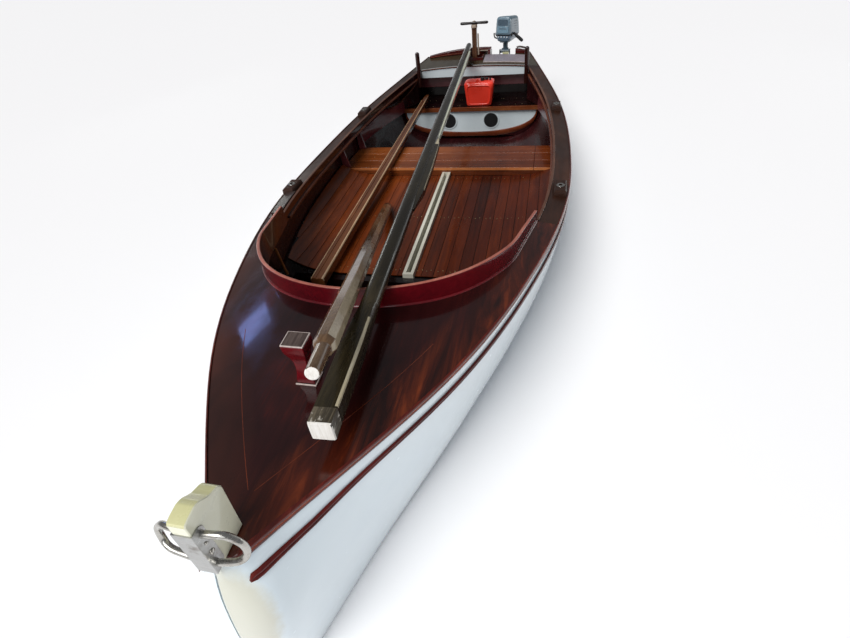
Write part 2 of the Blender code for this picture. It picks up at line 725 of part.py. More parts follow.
def make_rudder():
    rod("rudder_stock", (0, RUDDER_S, -0.340), (0, RUDDER_S, 0.520), STOCK_R, "steel", 16)
    lead = RUDDER_S + STOCK_R + GAP
    outline = [(lead, -0.020), (lead, -0.345), (4.93, -0.345), (4.985, -0.300)]
    outline += [(4.985, -0.08), (4.95, -0.030)]
    plate_x("rudder_blade", outline, -0.010, 0.010, "mahogany")
    rings = []
    for z, half in ((0.5204, 0.022), (0.80, 0.022), (0.842, 0.026)):
        rings.append([(half, RUDDER_S - half * 0.8, z), (half, RUDDER_S + half * 0.8, z),
                      (-half, RUDDER_S + half * 0.8, z), (-half, RUDDER_S - half * 0.8, z)])
    loft("tiller_post", rings, "mahogany_sole")
    radii = [(0, 0.008), (0.06, 0.012), (0.35, 0.0125), (0.5, 0.0142)]
    radii += [(0.65, 0.0125), (0.94, 0.012), (1, 0.008)]
    rings = circle_rings((-0.130, RUDDER_S, 0.857), (0.130, RUDDER_S, 0.857), radii, 12)
    loft("tiller_bar", rings, "mahogany", True)


def make_oarlocks():
    for row, s in ((1, 2.190), (2, 3.588)):
        for sign in (1, -1):
            x = rail_half(s) - 0.052
            z = max(deck_z(x - 0.045, s + d) for d in (-0.07, 0.07)) + 0.001
            length = 0.075
            rings = []
            for height, shrink in ((None, 0.0), (0.016, 0.004), (0.022, 0.016)):
                a = length - shrink
                b = 0.036 - shrink * 0.6
                ring = []
                for px, ps in ((x + b, s - a), (x + b, s + a), (x - b, s + a), (x - b, s - a)):
                    px = min(px, hull_half(ps, sheer_z(ps)) - 0.0006)
                    pz = deck_z(px, ps) + 0.0008 if height is None else z + height
                    ring.append((sign * px, ps, pz))
                rings.append(ring)
            pad = loft(side_name("oarlock_pad_%d" % row, sign), rings, "mahogany")
            radii = [(0, 0.0095), (1, 0.0095)]
            bore = circle_rings((sign * x, s, z - 0.1), (sign * x, s, z + 0.1), radii, 16)
            subtract(pad, loft("pad_bore", bore, "mahogany"))


def make_spars():
    a = Vector(MAST[0])
    b = Vector(MAST[1])
    axis = (b - a).normalized()
    side = axis.cross(Vector((0, 0, 1))).normalized()
    up = side.cross(axis)
    rings = []
    count = 16
    sections = [(0, 0.034, 1), (0.07, 0.034, 1), (0.115, 0.034, 0)]
    sections += [(0.5, 0.033, 0), (0.994, 0.027, 0), (1, 0.016, 0)]
    for t, radius, square in sections:
        centre = a.lerp(b, t)
        ring = []
        for k in range(count):
            angle = 2 * math.pi * k / count
            c = math.cos(angle)
            d = math.sin(angle)
            if square:
                grow = min(1 / max(abs(c), abs(d)), 1.38)
                c *= grow
                d *= grow
            ring.append(centre + radius * (c * side + d * up))
        rings.append(ring)
    loft("mast", rings, "dark_spar", True)
    radii = [(0, 0.0190), (0.075, 0.0215), (0.105, 0.034), (0.97, 0.034), (0.99, 0.024), (1, 0.012)]
    loft("octagonal_spar", circle_rings(YARD[0], YARD[1], radii, 8, 0.5), "dark_spar")
    a = Vector(BOOM[0])
    b = Vector(BOOM[1])
    rings = []
    outline = ((1, -0.5), (1, 0.5), (0.6, 1), (-0.6, 1), (-1, 0.5), (-1, -0.5), (-0.6, -1), (0.6, -1))
    for t, w, h in ((0, 0.042, 0.034), (0.5, 0.036, 0.028), (0.96, 0.022, 0.024), (1, 0.012, 0.016)):
        p = a.lerp(b, t)
        rings.append([p + Vector((w * u, 0, h * v)) for u, v in outline])
    loft("long_spar", rings, "mahogany_sole")


def make_can():
    rings = []
    x, s, w, d = 0.088, 4.405, 0.137, 0.075
    for z, grow in ((0.2626, 0.90), (0.275, 1.0), (0.445, 1.0), (0.470, 0.94), (0.482, 0.80)):
        ring = []
        for k in range(24):
            angle = 2 * math.pi * (k + 0.5) / 24
            c = math.cos(angle)
            e = math.sin(angle)
            ring.append((x + w * grow * math.copysign(abs(c) ** 0.4, c),
                         s + d * grow * math.copysign(abs(e) ** 0.4, e), z))
        rings.append(ring)
    loft("fuel_can", rings, "red_plastic", True)


def turned(rings):
    """Turn rings about the steering axis to the angle the motor is left at."""
    centre = Vector((MOTOR_X, MOTOR_STEER_S, 0))
    turn = Matrix.Rotation(math.radians(MOTOR_TURN), 3, "Z")
    return [[turn @ (Vector(p) - centre) + centre for p in ring] for ring in rings]


def rounded_ring(s0, s1, half, z, power=0.35, count=24):
    """Rounded rectangle around the steering axis, s0 and s1 from that axis."""
    ring = []
    for k in range(count):
        angle = 2 * math.pi * (k + 0.5) / count
        c = math.cos(angle)
        e = math.sin(angle)
        x = half * math.copysign(abs(c) ** power, c)
        s = (s0 + s1) / 2 + (s1 - s0) / 2 * math.copysign(abs(e) ** power, e)
        ring.append((MOTOR_X + x, MOTOR_STEER_S + s, z))
    return ring


def make_clamp():
    """Bracket hooked over the transom in the notch, with ears and tilt pin."""
    ts, tz = TILT_AXIS
    x = MOTOR_X
    outline = [(4.950, 0.5008), (4.9742, 0.5008), (4.9742, 0.430), (4.950, 0.430)]
    clamp = plate_x("outboard_clamp", outline, x - 0.052, x + 0.052, "cowl_grey")
    unite(clamp, box("bridge", x - 0.052, x + 0.052, 4.9505, 5.0185, 0.5006, 0.5160, "cowl_grey"))
    unite(clamp, box("back", x - 0.052, x + 0.052, 5.0007, 5.0180, 0.3600, 0.5100, "cowl_grey"))
    for sign in (1, -1):
        low, high = sorted((x + sign * 0.045, x + sign * 0.0515))
        unite(clamp, box("ear", low, high, 5.0050, ts + 0.018, 0.5050, tz + 0.017, "cowl_grey"))
    pin = circle_rings((x - 0.048, ts, tz), (x + 0.048, ts, tz), [(0, 0.0055), (1, 0.0055)], 12)
    unite(clamp, loft("pin", pin, "cowl_grey"))


def make_swivel():
    """Tilting bracket: barrel on the tilt pin and the upright steering tube."""
    ts, tz = TILT_AXIS
    x = MOTOR_X
    barrel = circle_rings((x - 0.044, ts, tz), (x + 0.044, ts, tz), [(0, 0.015), (1, 0.015)], 16)
    swivel = loft("outboard_swivel", barrel, "cowl_grey")
    unite(swivel, box("arm", x - 0.034, x + 0.034, ts + 0.002, MOTOR_STEER_S, 0.534, 0.5585, "cowl_grey"))
    tube = circle_rings((x, MOTOR_STEER_S, 0.345), (x, MOTOR_STEER_S, 0.600), [(0, 0.024), (1, 0.024)], 20)
    unite(swivel, loft("tube", tube, "cowl_grey"))
    unite(swivel, box("rest", x - 0.018, x + 0.018, 5.0240, MOTOR_STEER_S, 0.380, 0.420, "cowl_grey"))
    hole = circle_rings((x - 0.1, ts, tz), (x + 0.1, ts, tz), [(0, 0.0062), (1, 0.0062)], 12)
    subtract(swivel, loft("pin_hole", hole, "cowl_grey"))
    bore = circle_rings((x, MOTOR_STEER_S, 0.2), (x, MOTOR_STEER_S, 0.8), [(0, 0.0137), (1, 0.0137)], 20)
    subtract(swivel, loft("bore", bore, "cowl_grey"))


def make_leg():
    """Steered leg: shaft, pan under the cowl, drive leg, gear case, skeg."""
    x = MOTOR_X
    sa = MOTOR_STEER_S
    shaft = circle_rings((x, sa, 0.300), (x, sa, 0.640), [(0, 0.013), (1, 0.013)], 16)
    leg = loft("outboard_leg", shaft, "cowl_grey")
    pan = [rounded_ring(-0.050, 0.130, 0.048, 0.615), rounded_ring(-0.066, 0.172, 0.061, 0.690)]
    unite(leg, loft("pan", turned(pan), "cowl_grey"))
    lug = ((0.040, -0.054), (0.0685, -0.054), (0.0685, -0.026), (0.040, -0.026))
    lug = [[(x + dx, sa + ds, z) for dx, ds in lug] for z in (0.633, 0.655)]
    unite(leg, loft("lug", turned(lug), "cowl_grey"))
    sections = [(-0.030, 0.060, 0.022, 0.329), (-0.026, 0.058, 0.019, 0.10)]
    sections.append((-0.022, 0.060, 0.016, PROP_Z + 0.01))
    drive = [rounded_ring(s0, s1, half, z, 0.8, 16) for s0, s1, half, z in sections]
    unite(leg, loft("drive", turned(drive), "cowl_grey"))
    plate = [rounded_ring(-0.045, 0.150, 0.058, z, 0.6, 16) for z in (0.000, 0.006)]
    unite(leg, loft("plate", turned(plate), "cowl_grey"))
    case = circle_rings((x, sa - 0.065, PROP_Z), (x, sa + 0.100, PROP_Z),
                        [(0, 0.006), (0.12, 0.020), (0.4, 0.029), (0.8, 0.029), (1, 0.024)], 16)
    unite(leg, loft("case", turned(case), "cowl_grey"))
    fin = ((-0.020, PROP_Z), (0.080, PROP_Z), (0.070, PROP_Z - 0.105), (0.035, PROP_Z - 0.110))
    skeg = [[(x + side, sa + s, z) for s, z in fin] for side in (-0.004, 0.004)]
    unite(leg, loft("skeg", turned(skeg), "cowl_grey"))


def make_motor():
    x = MOTOR_X
    sa = MOTOR_STEER_S
    make_clamp()
    make_swivel()
    make_leg()
    sections = ((0.6904, -0.072, 0.180, 0.066), (0.700, -0.076, 0.184, 0.069), (0.800, -0.074, 0.182, 0.068),
                (0.845, -0.066, 0.172, 0.062), (0.860, -0.050, 0.150, 0.050))
    cowl = [rounded_ring(s0, s1, half, z, 0.35, 28) for z, s0, s1, half in sections]
    loft("outboard_cowl", turned(cowl), "cowl_grey", True)
    handle = circle_rings((x + 0.079, sa - 0.060, 0.640), (x + 0.079, sa + 0.130, 0.678),
                          [(0, 0.010), (0.35, 0.010), (0.36, 0.014), (0.97, 0.0145), (1, 0.009)], 12)
    loft("outboard_handle", turned(handle), "black", True)
    radii = [(0, 0.024), (0.7, 0.020), (1, 0.008)]
    hub = circle_rings((x, sa + 0.1006, PROP_Z), (x, sa + 0.148, PROP_Z), radii, 16)
    propeller = loft("propeller", turned(hub), "cowl_grey", True)
    for k in range(3):
        spin = Matrix.Rotation(2 * math.pi * k / 3, 3, "Y")
        rings = []
        sections = ((0.012, 0.016, 52), (0.040, 0.028, 40), (0.070, 0.030, 28), (0.090, 0.012, 22))
        for radius, chord, pitch in sections:
            along = math.sin(math.radians(pitch)) * chord
            side = math.cos(math.radians(pitch)) * chord
            base = [Vector((side, along, radius)), Vector((0.003, -0.002, radius)),
                    Vector((-side, -along, radius)), Vector((-0.003, 0.002, radius))]
            rings.append([spin @ p + Vector((x, sa + 0.120, PROP_Z)) for p in base])
        unite(propeller, loft("blade", turned(rings), "cowl_grey"))


def set_origins():
    """Moving pieces turn about their origins, the others sit at their centres."""
    ts, tz = TILT_AXIS
    pivots = {
        "rudder_stock": (0, RUDDER_S, 0),
        "rudder_blade": (0, RUDDER_S, 0),
        "tiller_post": (0, RUDDER_S, 0),
        "tiller_bar": (0, RUDDER_S, 0),
        "centreboard": (0, BOARD_PIVOT[0], BOARD_PIVOT[1]),
        "outboard_swivel": (MOTOR_X, ts, tz),
        "outboard_leg": (MOTOR_X, MOTOR_STEER_S, 0.5),
        "outboard_cowl": (MOTOR_X, MOTOR_STEER_S, 0.5),
        "outboard_handle": (MOTOR_X, MOTOR_STEER_S, 0.5),
        "propeller": tuple(turned([[(MOTOR_X, MOTOR_STEER_S + 0.12, PROP_Z)]])[0][0]),
    }
    for obj in bpy.data.objects:
        if obj.name in pivots:
            point = Vector(pivots[obj.name]) - Vector((0, LENGTH / 2, 0))
        else:
            point = sum((Vector(corner) for corner in obj.bound_box), Vector()) / 8
        obj.data.transform(Matrix.Translation(-point))
        obj.location = point


def main():
    clear_scene()
    make_hull()
    make_keel()
    make_transom()
    make_stem()
    make_coaming()
    make_decks()
    make_rails()
    make_bitt()
    make_sole()
    make_case()
    make_cross_board()
    make_seat()
    make_stern()
    make_rudder()
    make_oarlocks()
    make_spars()
    make_can()
    make_motor()
    set_origins()


main()
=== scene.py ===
from math import atan2, ceil, copysign, cos, pi, radians, sin, sqrt

import bmesh
import bpy
from mathutils import Matrix, Vector


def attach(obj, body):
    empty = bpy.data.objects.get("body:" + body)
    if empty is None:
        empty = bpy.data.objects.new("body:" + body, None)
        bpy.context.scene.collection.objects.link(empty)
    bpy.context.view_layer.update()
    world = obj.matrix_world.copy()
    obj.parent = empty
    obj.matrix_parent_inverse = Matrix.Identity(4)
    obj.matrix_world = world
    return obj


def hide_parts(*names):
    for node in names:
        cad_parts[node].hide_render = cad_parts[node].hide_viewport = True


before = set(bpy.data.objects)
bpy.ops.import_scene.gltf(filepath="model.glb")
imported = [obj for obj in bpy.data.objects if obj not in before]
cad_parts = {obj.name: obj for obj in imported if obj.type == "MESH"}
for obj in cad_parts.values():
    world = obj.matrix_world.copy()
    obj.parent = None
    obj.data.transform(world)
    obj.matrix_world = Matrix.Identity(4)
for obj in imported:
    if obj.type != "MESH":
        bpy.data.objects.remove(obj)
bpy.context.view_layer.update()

# Sizes shared with the source of the part, in metres. Lengths along the boat
# are given as s, measured aft from the stem head, and shifted when meshed.
SIDES = ((1, "port"), (-1, "starboard"))
LENGTH = 5.00
SHELL = 0.022
DECK = 0.012
GAP = 0.0004
RAIL_WIDTH = 0.012
SIDE_DECK = 0.100
HULL_AFT = LENGTH - 0.025 - GAP
SHEER_S = [0.0, 0.25, 0.7, 1.3, 2.0, 2.8, 3.6, 4.4, 5.2]
SHEER_X = [0.020, 0.190, 0.454, 0.679, 0.836, 0.877, 0.825, 0.666, 0.463]
HEIGHT_S = [0.0, 1.3, 2.6, 3.9, 5.2]
HEIGHT_Z = [0.692, 0.584, 0.490, 0.485, 0.550]
KEEL_S = [0.0, 0.1, 0.3, 0.8, 1.6, 2.5, 3.3, 3.9, 4.3, 4.7, 5.0]
KEEL_Z = [-0.150, -0.235, -0.275, -0.300, -0.310, -0.300, -0.235, -0.140, -0.055, 0.015, 0.060]
STEM_Z = [-0.300, -0.150, 0.0, 0.2, 0.39, 0.45, 0.545, 0.617, 0.67, 0.70]
STEM_S = [0.060, 0.0, -0.070, -0.100, -0.090, -0.080, -0.060, -0.040, -0.020, -0.010]
COAMING_X = [0.0, 0.249, 0.454, 0.586, 0.633, 0.692]
COAMING_S = [0.967, 1.019, 1.169, 1.375, 1.534, 1.803]
COAMING_END = 1.803
COAMING_THICK = 0.016
COAMING_STEPS = 145
COAMING_Z = (0.752, 0.618)
AFT_DECK_S = 4.600
SOLE_Z = 0.200
PLANK = 0.069
PLANK_GAP = 0.0012
CASE_HALF = 0.031
SLOT_HALF = 0.013
SLOT_FRONT = 1.757
SLOT_AFT = 3.051
CROSS = (3.035, 3.420, 0.262)
SEAT_S = 4.300
SEAT_Z = 0.262
CRESCENT_Z = 0.232
RUDDER_S = 4.776
MOTOR_X = 0.262
MOTOR_S = 5.110
MOTOR_TURN = -18.0
NOTCH = (0.139, 0.372)
STERN_FRONT = 4.930
STERN_AFT = 4.9745
KNEE_TOP = 0.425
OARLOCK_PAD = 0.0222
MAST = ((0.184, 0.312, 0.8091), (-0.0785, 4.958, 0.6362))
MAST_RADIUS = 0.0338
YARD = ((0.212, 0.3255, 1.0279), (-0.3300, 2.5448, 0.2152))
BOOM = ((-0.488, 1.618, 0.2435), (-0.4185, 4.433, 0.3375))
STEM_HALF = 0.024
RING_ROD = 0.009
RING_PATH = ((0.030, -0.0115, 0.7234), (0.060, -0.0105, 0.7345), (0.090, -0.0080, 0.7480), (0.108, 0.0010, 0.7600),
             (0.1135, 0.0085, 0.7820), (0.108, 0.0115, 0.8060), (0.096, 0.0115, 0.8200), (0.082, 0.0100, 0.8340),
             (0.060, 0.0060, 0.8400), (0.030, 0.0040, 0.8380))
# Outlines of the rail's nose, in from its edge, and of the rubbing strake.
RAIL_NOSE = ((0.0045, -0.024), (0.0012, -0.0215), (0, -0.0165), (0.0010, -0.0125), (0.0030, -0.0112),
             (0.0012, -0.0098), (0.0004, -0.0045), (0.0024, 0.0010), (0.0062, 0.0036))
STRAKE = ((-0.010, 0.0012), (-0.0098, 0.006), (-0.0075, 0.0098), (-0.004, 0.0104), (-0.0012, 0.0086),
          (-0.0004, 0.0050), (0.0004, 0.0050), (0.0012, 0.0088), (0.004, 0.0108), (0.0075, 0.0098),
          (0.0098, 0.006), (0.010, 0.0012))
STRAKE_DROP = 0.088
FOCAL_PIXELS = 481.3865
PICTURE_WIDTH = 850.0
FLOOR_RADIUS = 60
# Closer points are merged; sharper edges than this stay sharp, in degrees.
WELD = 1e-6
SHARP = 32


def make_curve(xs, ys):
    """Natural cubic spline through the given points."""
    n = len(xs)
    h = [xs[i + 1] - xs[i] for i in range(n - 1)]
    second = [0.0] * n
    low = [0.0] * n
    diag = [1.0] * n
    rhs = [0.0] * n
    for i in range(1, n - 1):
        slope = (ys[i + 1] - ys[i]) / h[i] - (ys[i] - ys[i - 1]) / h[i - 1]
        pivot = 2 * (h[i] + h[i - 1]) - h[i - 1] * low[i - 1]
        low[i] = h[i] / pivot
        rhs[i] = (6 * slope - h[i - 1] * rhs[i - 1]) / pivot
        diag[i] = pivot
    for i in range(n - 2, 0, -1):
        second[i] = rhs[i] - low[i] * second[i + 1]

    def value(x):
        i = 0
        while i < n - 2 and x > xs[i + 1]:
            i += 1
        a = (xs[i + 1] - x) / h[i]
        b = (x - xs[i]) / h[i]
        bend = (a ** 3 - a) * second[i] + (b ** 3 - b) * second[i + 1]
        return a * ys[i] + b * ys[i + 1] + bend * h[i] ** 2 / 6

    return value


def straight(xs, ys):
    """Straight lines between the given points, level beyond them."""
    def value(x):
        if x <= xs[0]:
            return ys[0]
        for i in range(len(xs) - 1):
            if x <= xs[i + 1]:
                t = (x - xs[i]) / (xs[i + 1] - xs[i])
                return ys[i] + t * (ys[i + 1] - ys[i])
        return ys[-1]

    return value


rail_half = make_curve(SHEER_S, SHEER_X)
sheer_z = make_curve(HEIGHT_S, HEIGHT_Z)
keel_z = make_curve(KEEL_S, KEEL_Z)
stem_shift = make_curve(STEM_Z, STEM_S)
fullness = straight([0.0, 1.0, 2.0, 3.0, 4.3, 5.0], [1.8, 2.0, 2.4, 3.0, 3.8, 4.0])
deck_crown = straight([0.0, 3.9, 4.6, 5.0], [0.10, 0.09, 0.05, 0.05])
sole_rise = straight([0.55, 0.76, 0.90, 1.0], [0.0, 0.014, 0.046, 0.092])


def hull_half(s, z):
    """Half breadth of the outside of the hull at station s and height z."""
    low = keel_z(s)
    part = min(max((z - low) / (sheer_z(s) - low), 0.0), 1.0)
    power = fullness(s)
    width = max(rail_half(s) - RAIL_WIDTH, 0.012)
    swell = 0.055 * max(0.0, 1 - s / 1.1) ** 2 * sin(pi * part ** 0.7)
    swell += 0.060 * max(0.0, 1 - s / 0.4) ** 2 * sin(pi * part ** 3)
    t = min(max(s, 0.0), 0.05) / 0.05
    nose = sqrt(1 - (1 - t) ** 2)
    return nose * (width * (1 - (1 - part) ** power) ** (1 / power) + swell)


def inner_half(s, z):
    slope = (hull_half(s, z + 0.004) - hull_half(s, z - 0.004)) / 0.008
    return hull_half(s, z) - SHELL * sqrt(1 + slope * slope)


def hull_s(s, z):
    """Station of a hull point, moved along with the curve of the stem."""
    fade = max(0.0, 1 - s / 0.5) ** 2
    return s + fade * stem_shift(max(z, -0.30))


def deck_z(x, s):
    width = max(rail_half(s) - RAIL_WIDTH, 0.02)
    return sheer_z(s) + deck_crown(s) * width * (1 - min(1.0, (x / width) ** 2))


def spread(marks, step):
    """Finer stations between given marks, no further apart than step."""
    result = [marks[0]]
    for a, b in zip(marks, marks[1:]):
        count = max(1, ceil((b - a) / step))
        result += [a + (b - a) * (i + 1) / count for i in range(count)]
    return result


def rgb(r, g, b):
    """Colour as seen on screen, 0 to 255, to the linear value shaders take."""
    return tuple(((v / 255 + 0.055) / 1.055) ** 2.4 if v > 10 else v / 255 / 12.92 for v in (r, g, b)) + (1.0,)


class Shader:
    """A Principled material and the nodes that feed it."""

    def __init__(self, name, colour, rough, metal=0.0, coat=0.0, coat_rough=0.05, level=0.5):
        self.mat = bpy.data.materials.new(name)
        self.mat.use_nodes = True
        self.tree = self.mat.node_tree
        self.bsdf = self.tree.nodes["Principled BSDF"]
        for socket, value in (("Base Color", colour), ("Roughness", rough), ("Metallic", metal), ("Coat Weight", coat),
                              ("Coat Roughness", coat_rough), ("Specular IOR Level", level)):
            self.bsdf.inputs[socket].default_value = value
        self.coord = self.node("TexCoord").outputs["Object"]
        self.mat.diffuse_color = colour

    def node(self, kind, **sockets):
        node = self.tree.nodes.new("ShaderNode" + kind)
        for name, value in sockets.items():
            node.inputs[name].default_value = value
        return node

    def link(self, source, target):
        self.tree.links.new(source, self.bsdf.inputs[target] if isinstance(target, str) else target)

    def feed(self, slot, value):
        """Set an input to a value, or link it to another node's output."""
        if isinstance(value, (int, float, tuple)):
            slot.default_value = value
        else:
            self.link(value, slot)

    def mapped(self, scale, turn=0):
        node = self.node("Mapping", Scale=scale, Rotation=(0, 0, radians(turn)))
        self.link(self.coord, node.inputs["Vector"])
        return node.outputs[0]

    def noise(self, vector, scale, detail=3.0, rough=0.5, distortion=0.0):
        node = self.node("TexNoise", Scale=scale, Detail=detail, Roughness=rough, Distortion=distortion)
        self.link(vector, node.inputs["Vector"])
        return node.outputs[0]

    def ramp(self, value, stops):
        node = self.node("ValToRGB")
        points = node.color_ramp.elements
        while len(points) < len(stops):
            points.new(0.5)
        for point, (place, colour) in zip(points, stops):
            point.position = place
            point.color = colour if isinstance(colour, tuple) else (colour, colour, colour, 1)
        self.link(value, node.inputs[0])
        return node.outputs[0]

    def math(self, kind, *values):
        node = self.node("Math")
        node.operation = kind
        for slot, value in zip(node.inputs, (values + (0.0, 0.0))[:3]):
            self.feed(slot, value)
        return node.outputs[0]

    def mad(self, value, factor, offset):
        return self.math("MULTIPLY_ADD", value, factor, offset)

    def mix(self, factor, a, b, mode="MIX"):
        node = self.node("Mix")
        node.data_type = "RGBA"
        node.blend_type = mode
        for index, value in ((0, factor), (6, a), (7, b)):
            self.feed(node.inputs[index], value)
        return node.outputs[2]

    def axis(self, index):
        node = self.node("SeparateXYZ")
        self.link(self.coord, node.inputs[0])
        return node.outputs[index]

    def bump(self, height, strength, distance):
        node = self.node("Bump", Strength=strength, Distance=distance)
        self.link(height, node.inputs["Height"])
        self.link(node.outputs[0], "Normal")


def wood(name, dark, mid, light, rough, coat, along="Y", fine=1.0, patch=0.45, plank=None, wear=None, side=None,
         edge=None):
    """Varnished wood: long grain, slow tone changes, pores, uneven gloss.

    plank gives each board its own tone, wear adds worn spots, side paints shade
    on the port side and edge paints light in a band along the rails, streaked on port.
    """
    dark, mid, light = rgb(*dark), rgb(*mid), rgb(*light)
    m = Shader(name, mid, rough, coat=coat * 0.55, level=0.25)
    scale = {"X": (0.7, 13, 13), "Y": (13, 0.7, 13), "Z": (13, 13, 0.7)}[along]
    grain = m.noise(m.mapped([v * fine for v in scale]), 2.4, 6, 0.62, 1.1)
    hair = m.noise(m.mapped([v * 5 * fine for v in scale]), 4.0, 3, 0.6)
    cloud = m.noise(m.mapped((2.2, 1.1, 2.2)), 1.6, 3, 0.55, 0.4)
    fibre = m.math("MULTIPLY", hair, 0.16)
    value = m.mad(grain, 0.62 - patch * 0.4, fibre)
    value = m.math("ADD", value, m.math("MULTIPLY", cloud, 0.22 + patch * 0.4))
    if plank:
        number = m.math("FLOOR", m.math("DIVIDE", m.axis(plank[0]), plank[1]))
        white = m.node("TexWhiteNoise")
        white.noise_dimensions = "1D"
        m.link(number, white.inputs["W"])
        value = m.math("ADD", value, m.mad(white.outputs["Value"], 0.16, -0.08))
    colour = m.ramp(value, [(0.28, dark), (0.52, mid), (0.78, light)])
    if wear:
        spots = m.noise(m.mapped((3, 1.5, 3)), wear[1], 6, 0.7, 0.6)
        colour = m.mix(m.ramp(spots, [(wear[2], 0.0), (wear[2] + 0.10, 1.0)]), colour, rgb(*wear[0]))
    # side: painted shade, the port side multiplied darker by the side colour.
    if side:
        across = m.mad(m.axis(0), 0.5, 0.5)
        colour = m.mix(m.ramp(across, [(0.30, 0.0), (0.62, 1.0)]), colour, m.mix(1.0, colour, rgb(*side), "MULTIPLY"))
    # edge: painted light, a lighter band along both rails with bright streaks along the port rail.
    if edge:
        s = m.math("ADD", m.axis(1), LENGTH / 2)
        bend = m.mad(s, -0.20, 0.78)
        gap = m.math("SUBTRACT", m.mad(s, bend, 0.02), m.math("ABSOLUTE", m.axis(0)))
        near = m.math("ADD", m.math("MULTIPLY", gap, 3.0), m.mad(cloud, 0.9, -0.45))
        streak = m.noise(m.mapped((9, 1.3, 9), -30), 2.0, 5, 0.6, 0.8)
        painted_light = m.ramp(streak, [(0.36, rgb(*edge[0])), (0.54, rgb(*edge[1])), (0.76, rgb(*edge[2]))])
        even = m.ramp(cloud, [(0.3, rgb(40, 18, 14)), (0.7, rgb(82, 40, 28))])
        painted_light = m.mix(m.ramp(m.mad(m.axis(0), 1.6, 0.5), [(0.42, 0.0), (0.62, 1.0)]), even, painted_light)
        colour = m.mix(m.ramp(near, [(0.10, 0.9), (0.58, 0.0)]), colour, painted_light)
    m.link(colour, "Base Color")
    gloss = m.noise(m.mapped((4, 2, 4)), 3.0, 4, 0.6)
    m.link(m.ramp(gloss, [(0.25, max(rough - 0.10, 0.04)), (0.8, rough + 0.14)]), "Roughness")
    m.bump(m.mad(hair, 0.6, grain), 0.10, 0.0006)
    return m.mat


def paint(name, colour, rough, tint=None, dirt=0.25):
    """Brushed-out paint with faint clouding and a slight waviness."""
    colour = rgb(*colour)
    tint = rgb(*tint) if tint else tuple(v * 0.86 for v in colour[:3]) + (1,)
    m = Shader(name, colour, rough, coat=0.5, coat_rough=0.08)
    cloud = m.noise(m.mapped((1.5, 0.8, 1.5)), 2.2, 4, 0.55)
    fine = m.noise(m.mapped((1, 1, 1)), 38, 4, 0.6)
    clouded = m.math("MULTIPLY", cloud, 0.75)
    m.link(m.mix(m.ramp(m.mad(fine, 0.25, clouded), [(0.35, 0.0), (0.75, dirt)]), colour, tint), "Base Color")
    m.link(m.ramp(fine, [(0.3, rough * 0.8), (0.8, rough * 1.5)]), "Roughness")
    m.bump(m.mad(cloud, 2.0, fine), 0.06, 0.0008)
    return m.mat


def metal(name, colour, rough, worn):
    m = Shader(name, rgb(*colour), rough, metal=1.0)
    lines = m.noise(m.mapped((4, 4, 60)), 6, 4, 0.65)
    spots = m.noise(m.mapped((1, 1, 1)), 26, 5, 0.65)
    m.link(m.mix(m.ramp(spots, [(0.50, 0.0), (0.72, 0.75)]), rgb(*colour), rgb(*worn)), "Base Color")
    m.link(m.ramp(lines, [(0.25, rough * 0.6), (0.8, rough * 1.6)]), "Roughness")
    m.bump(lines, 0.08, 0.0004)
    return m.mat


def plastic(name, colour, rough, coat=0.0, strength=0.12, grain=180):
    colour = rgb(*colour)
    m = Shader(name, colour, rough, coat=coat)
    fine = m.noise(m.mapped((1, 1, 1)), grain, 3, 0.5)
    cloud = m.noise(m.mapped((1, 1, 1)), 7, 4, 0.6)
    pale = tuple(min(1.0, v * 1.6 + 0.02) for v in colour[:3]) + (1,)
    m.link(m.mix(m.ramp(cloud, [(0.45, 0.0), (0.75, 0.12)]), colour, pale), "Base Color")
    m.link(m.ramp(cloud, [(0.3, rough * 0.75), (0.75, rough * 1.35)]), "Roughness")
    m.bump(fine, strength, 0.0003)
    return m.mat


def hull_paint():
    """White hull enamel, with painted shade in a warmer beige on the port side of the stem."""
    m = Shader("hull_enamel", rgb(222, 234, 240), 0.2, coat=0.6, coat_rough=0.06)
    cloud = m.noise(m.mapped((1.2, 0.5, 1.2)), 2.0, 4, 0.55)
    fine = m.noise(m.mapped((1, 1, 1)), 30, 4, 0.6)
    colour = m.mix(m.ramp(cloud, [(0.35, 0.0), (0.7, 0.5)]), rgb(226, 237, 242), rgb(206, 222, 232))
    # Painted shade: a beige patch near the front of the stem, on its port side only.
    side = m.axis(0)
    front = m.axis(1)
    edge = m.mad(fine, 0.02, m.math("ADD", front, m.math("MULTIPLY", side, -0.3)))
    edge = m.mad(m.axis(2), -0.22, edge)
    near = m.ramp(m.math("ADD", edge, 3.0), [(0.338, 1.0), (0.358, 0.0)])
    port = m.ramp(m.mad(side, 40.0, 0.4), [(0.3, 0.0), (0.6, 1.0)])
    colour = m.mix(m.math("MULTIPLY", near, port), colour, rgb(204, 204, 190))
    m.link(colour, "Base Color")
    m.link(m.ramp(fine, [(0.3, 0.16), (0.8, 0.30)]), "Roughness")
    m.bump(m.mad(cloud, 3.0, fine), 0.05, 0.001)
    return m.mat


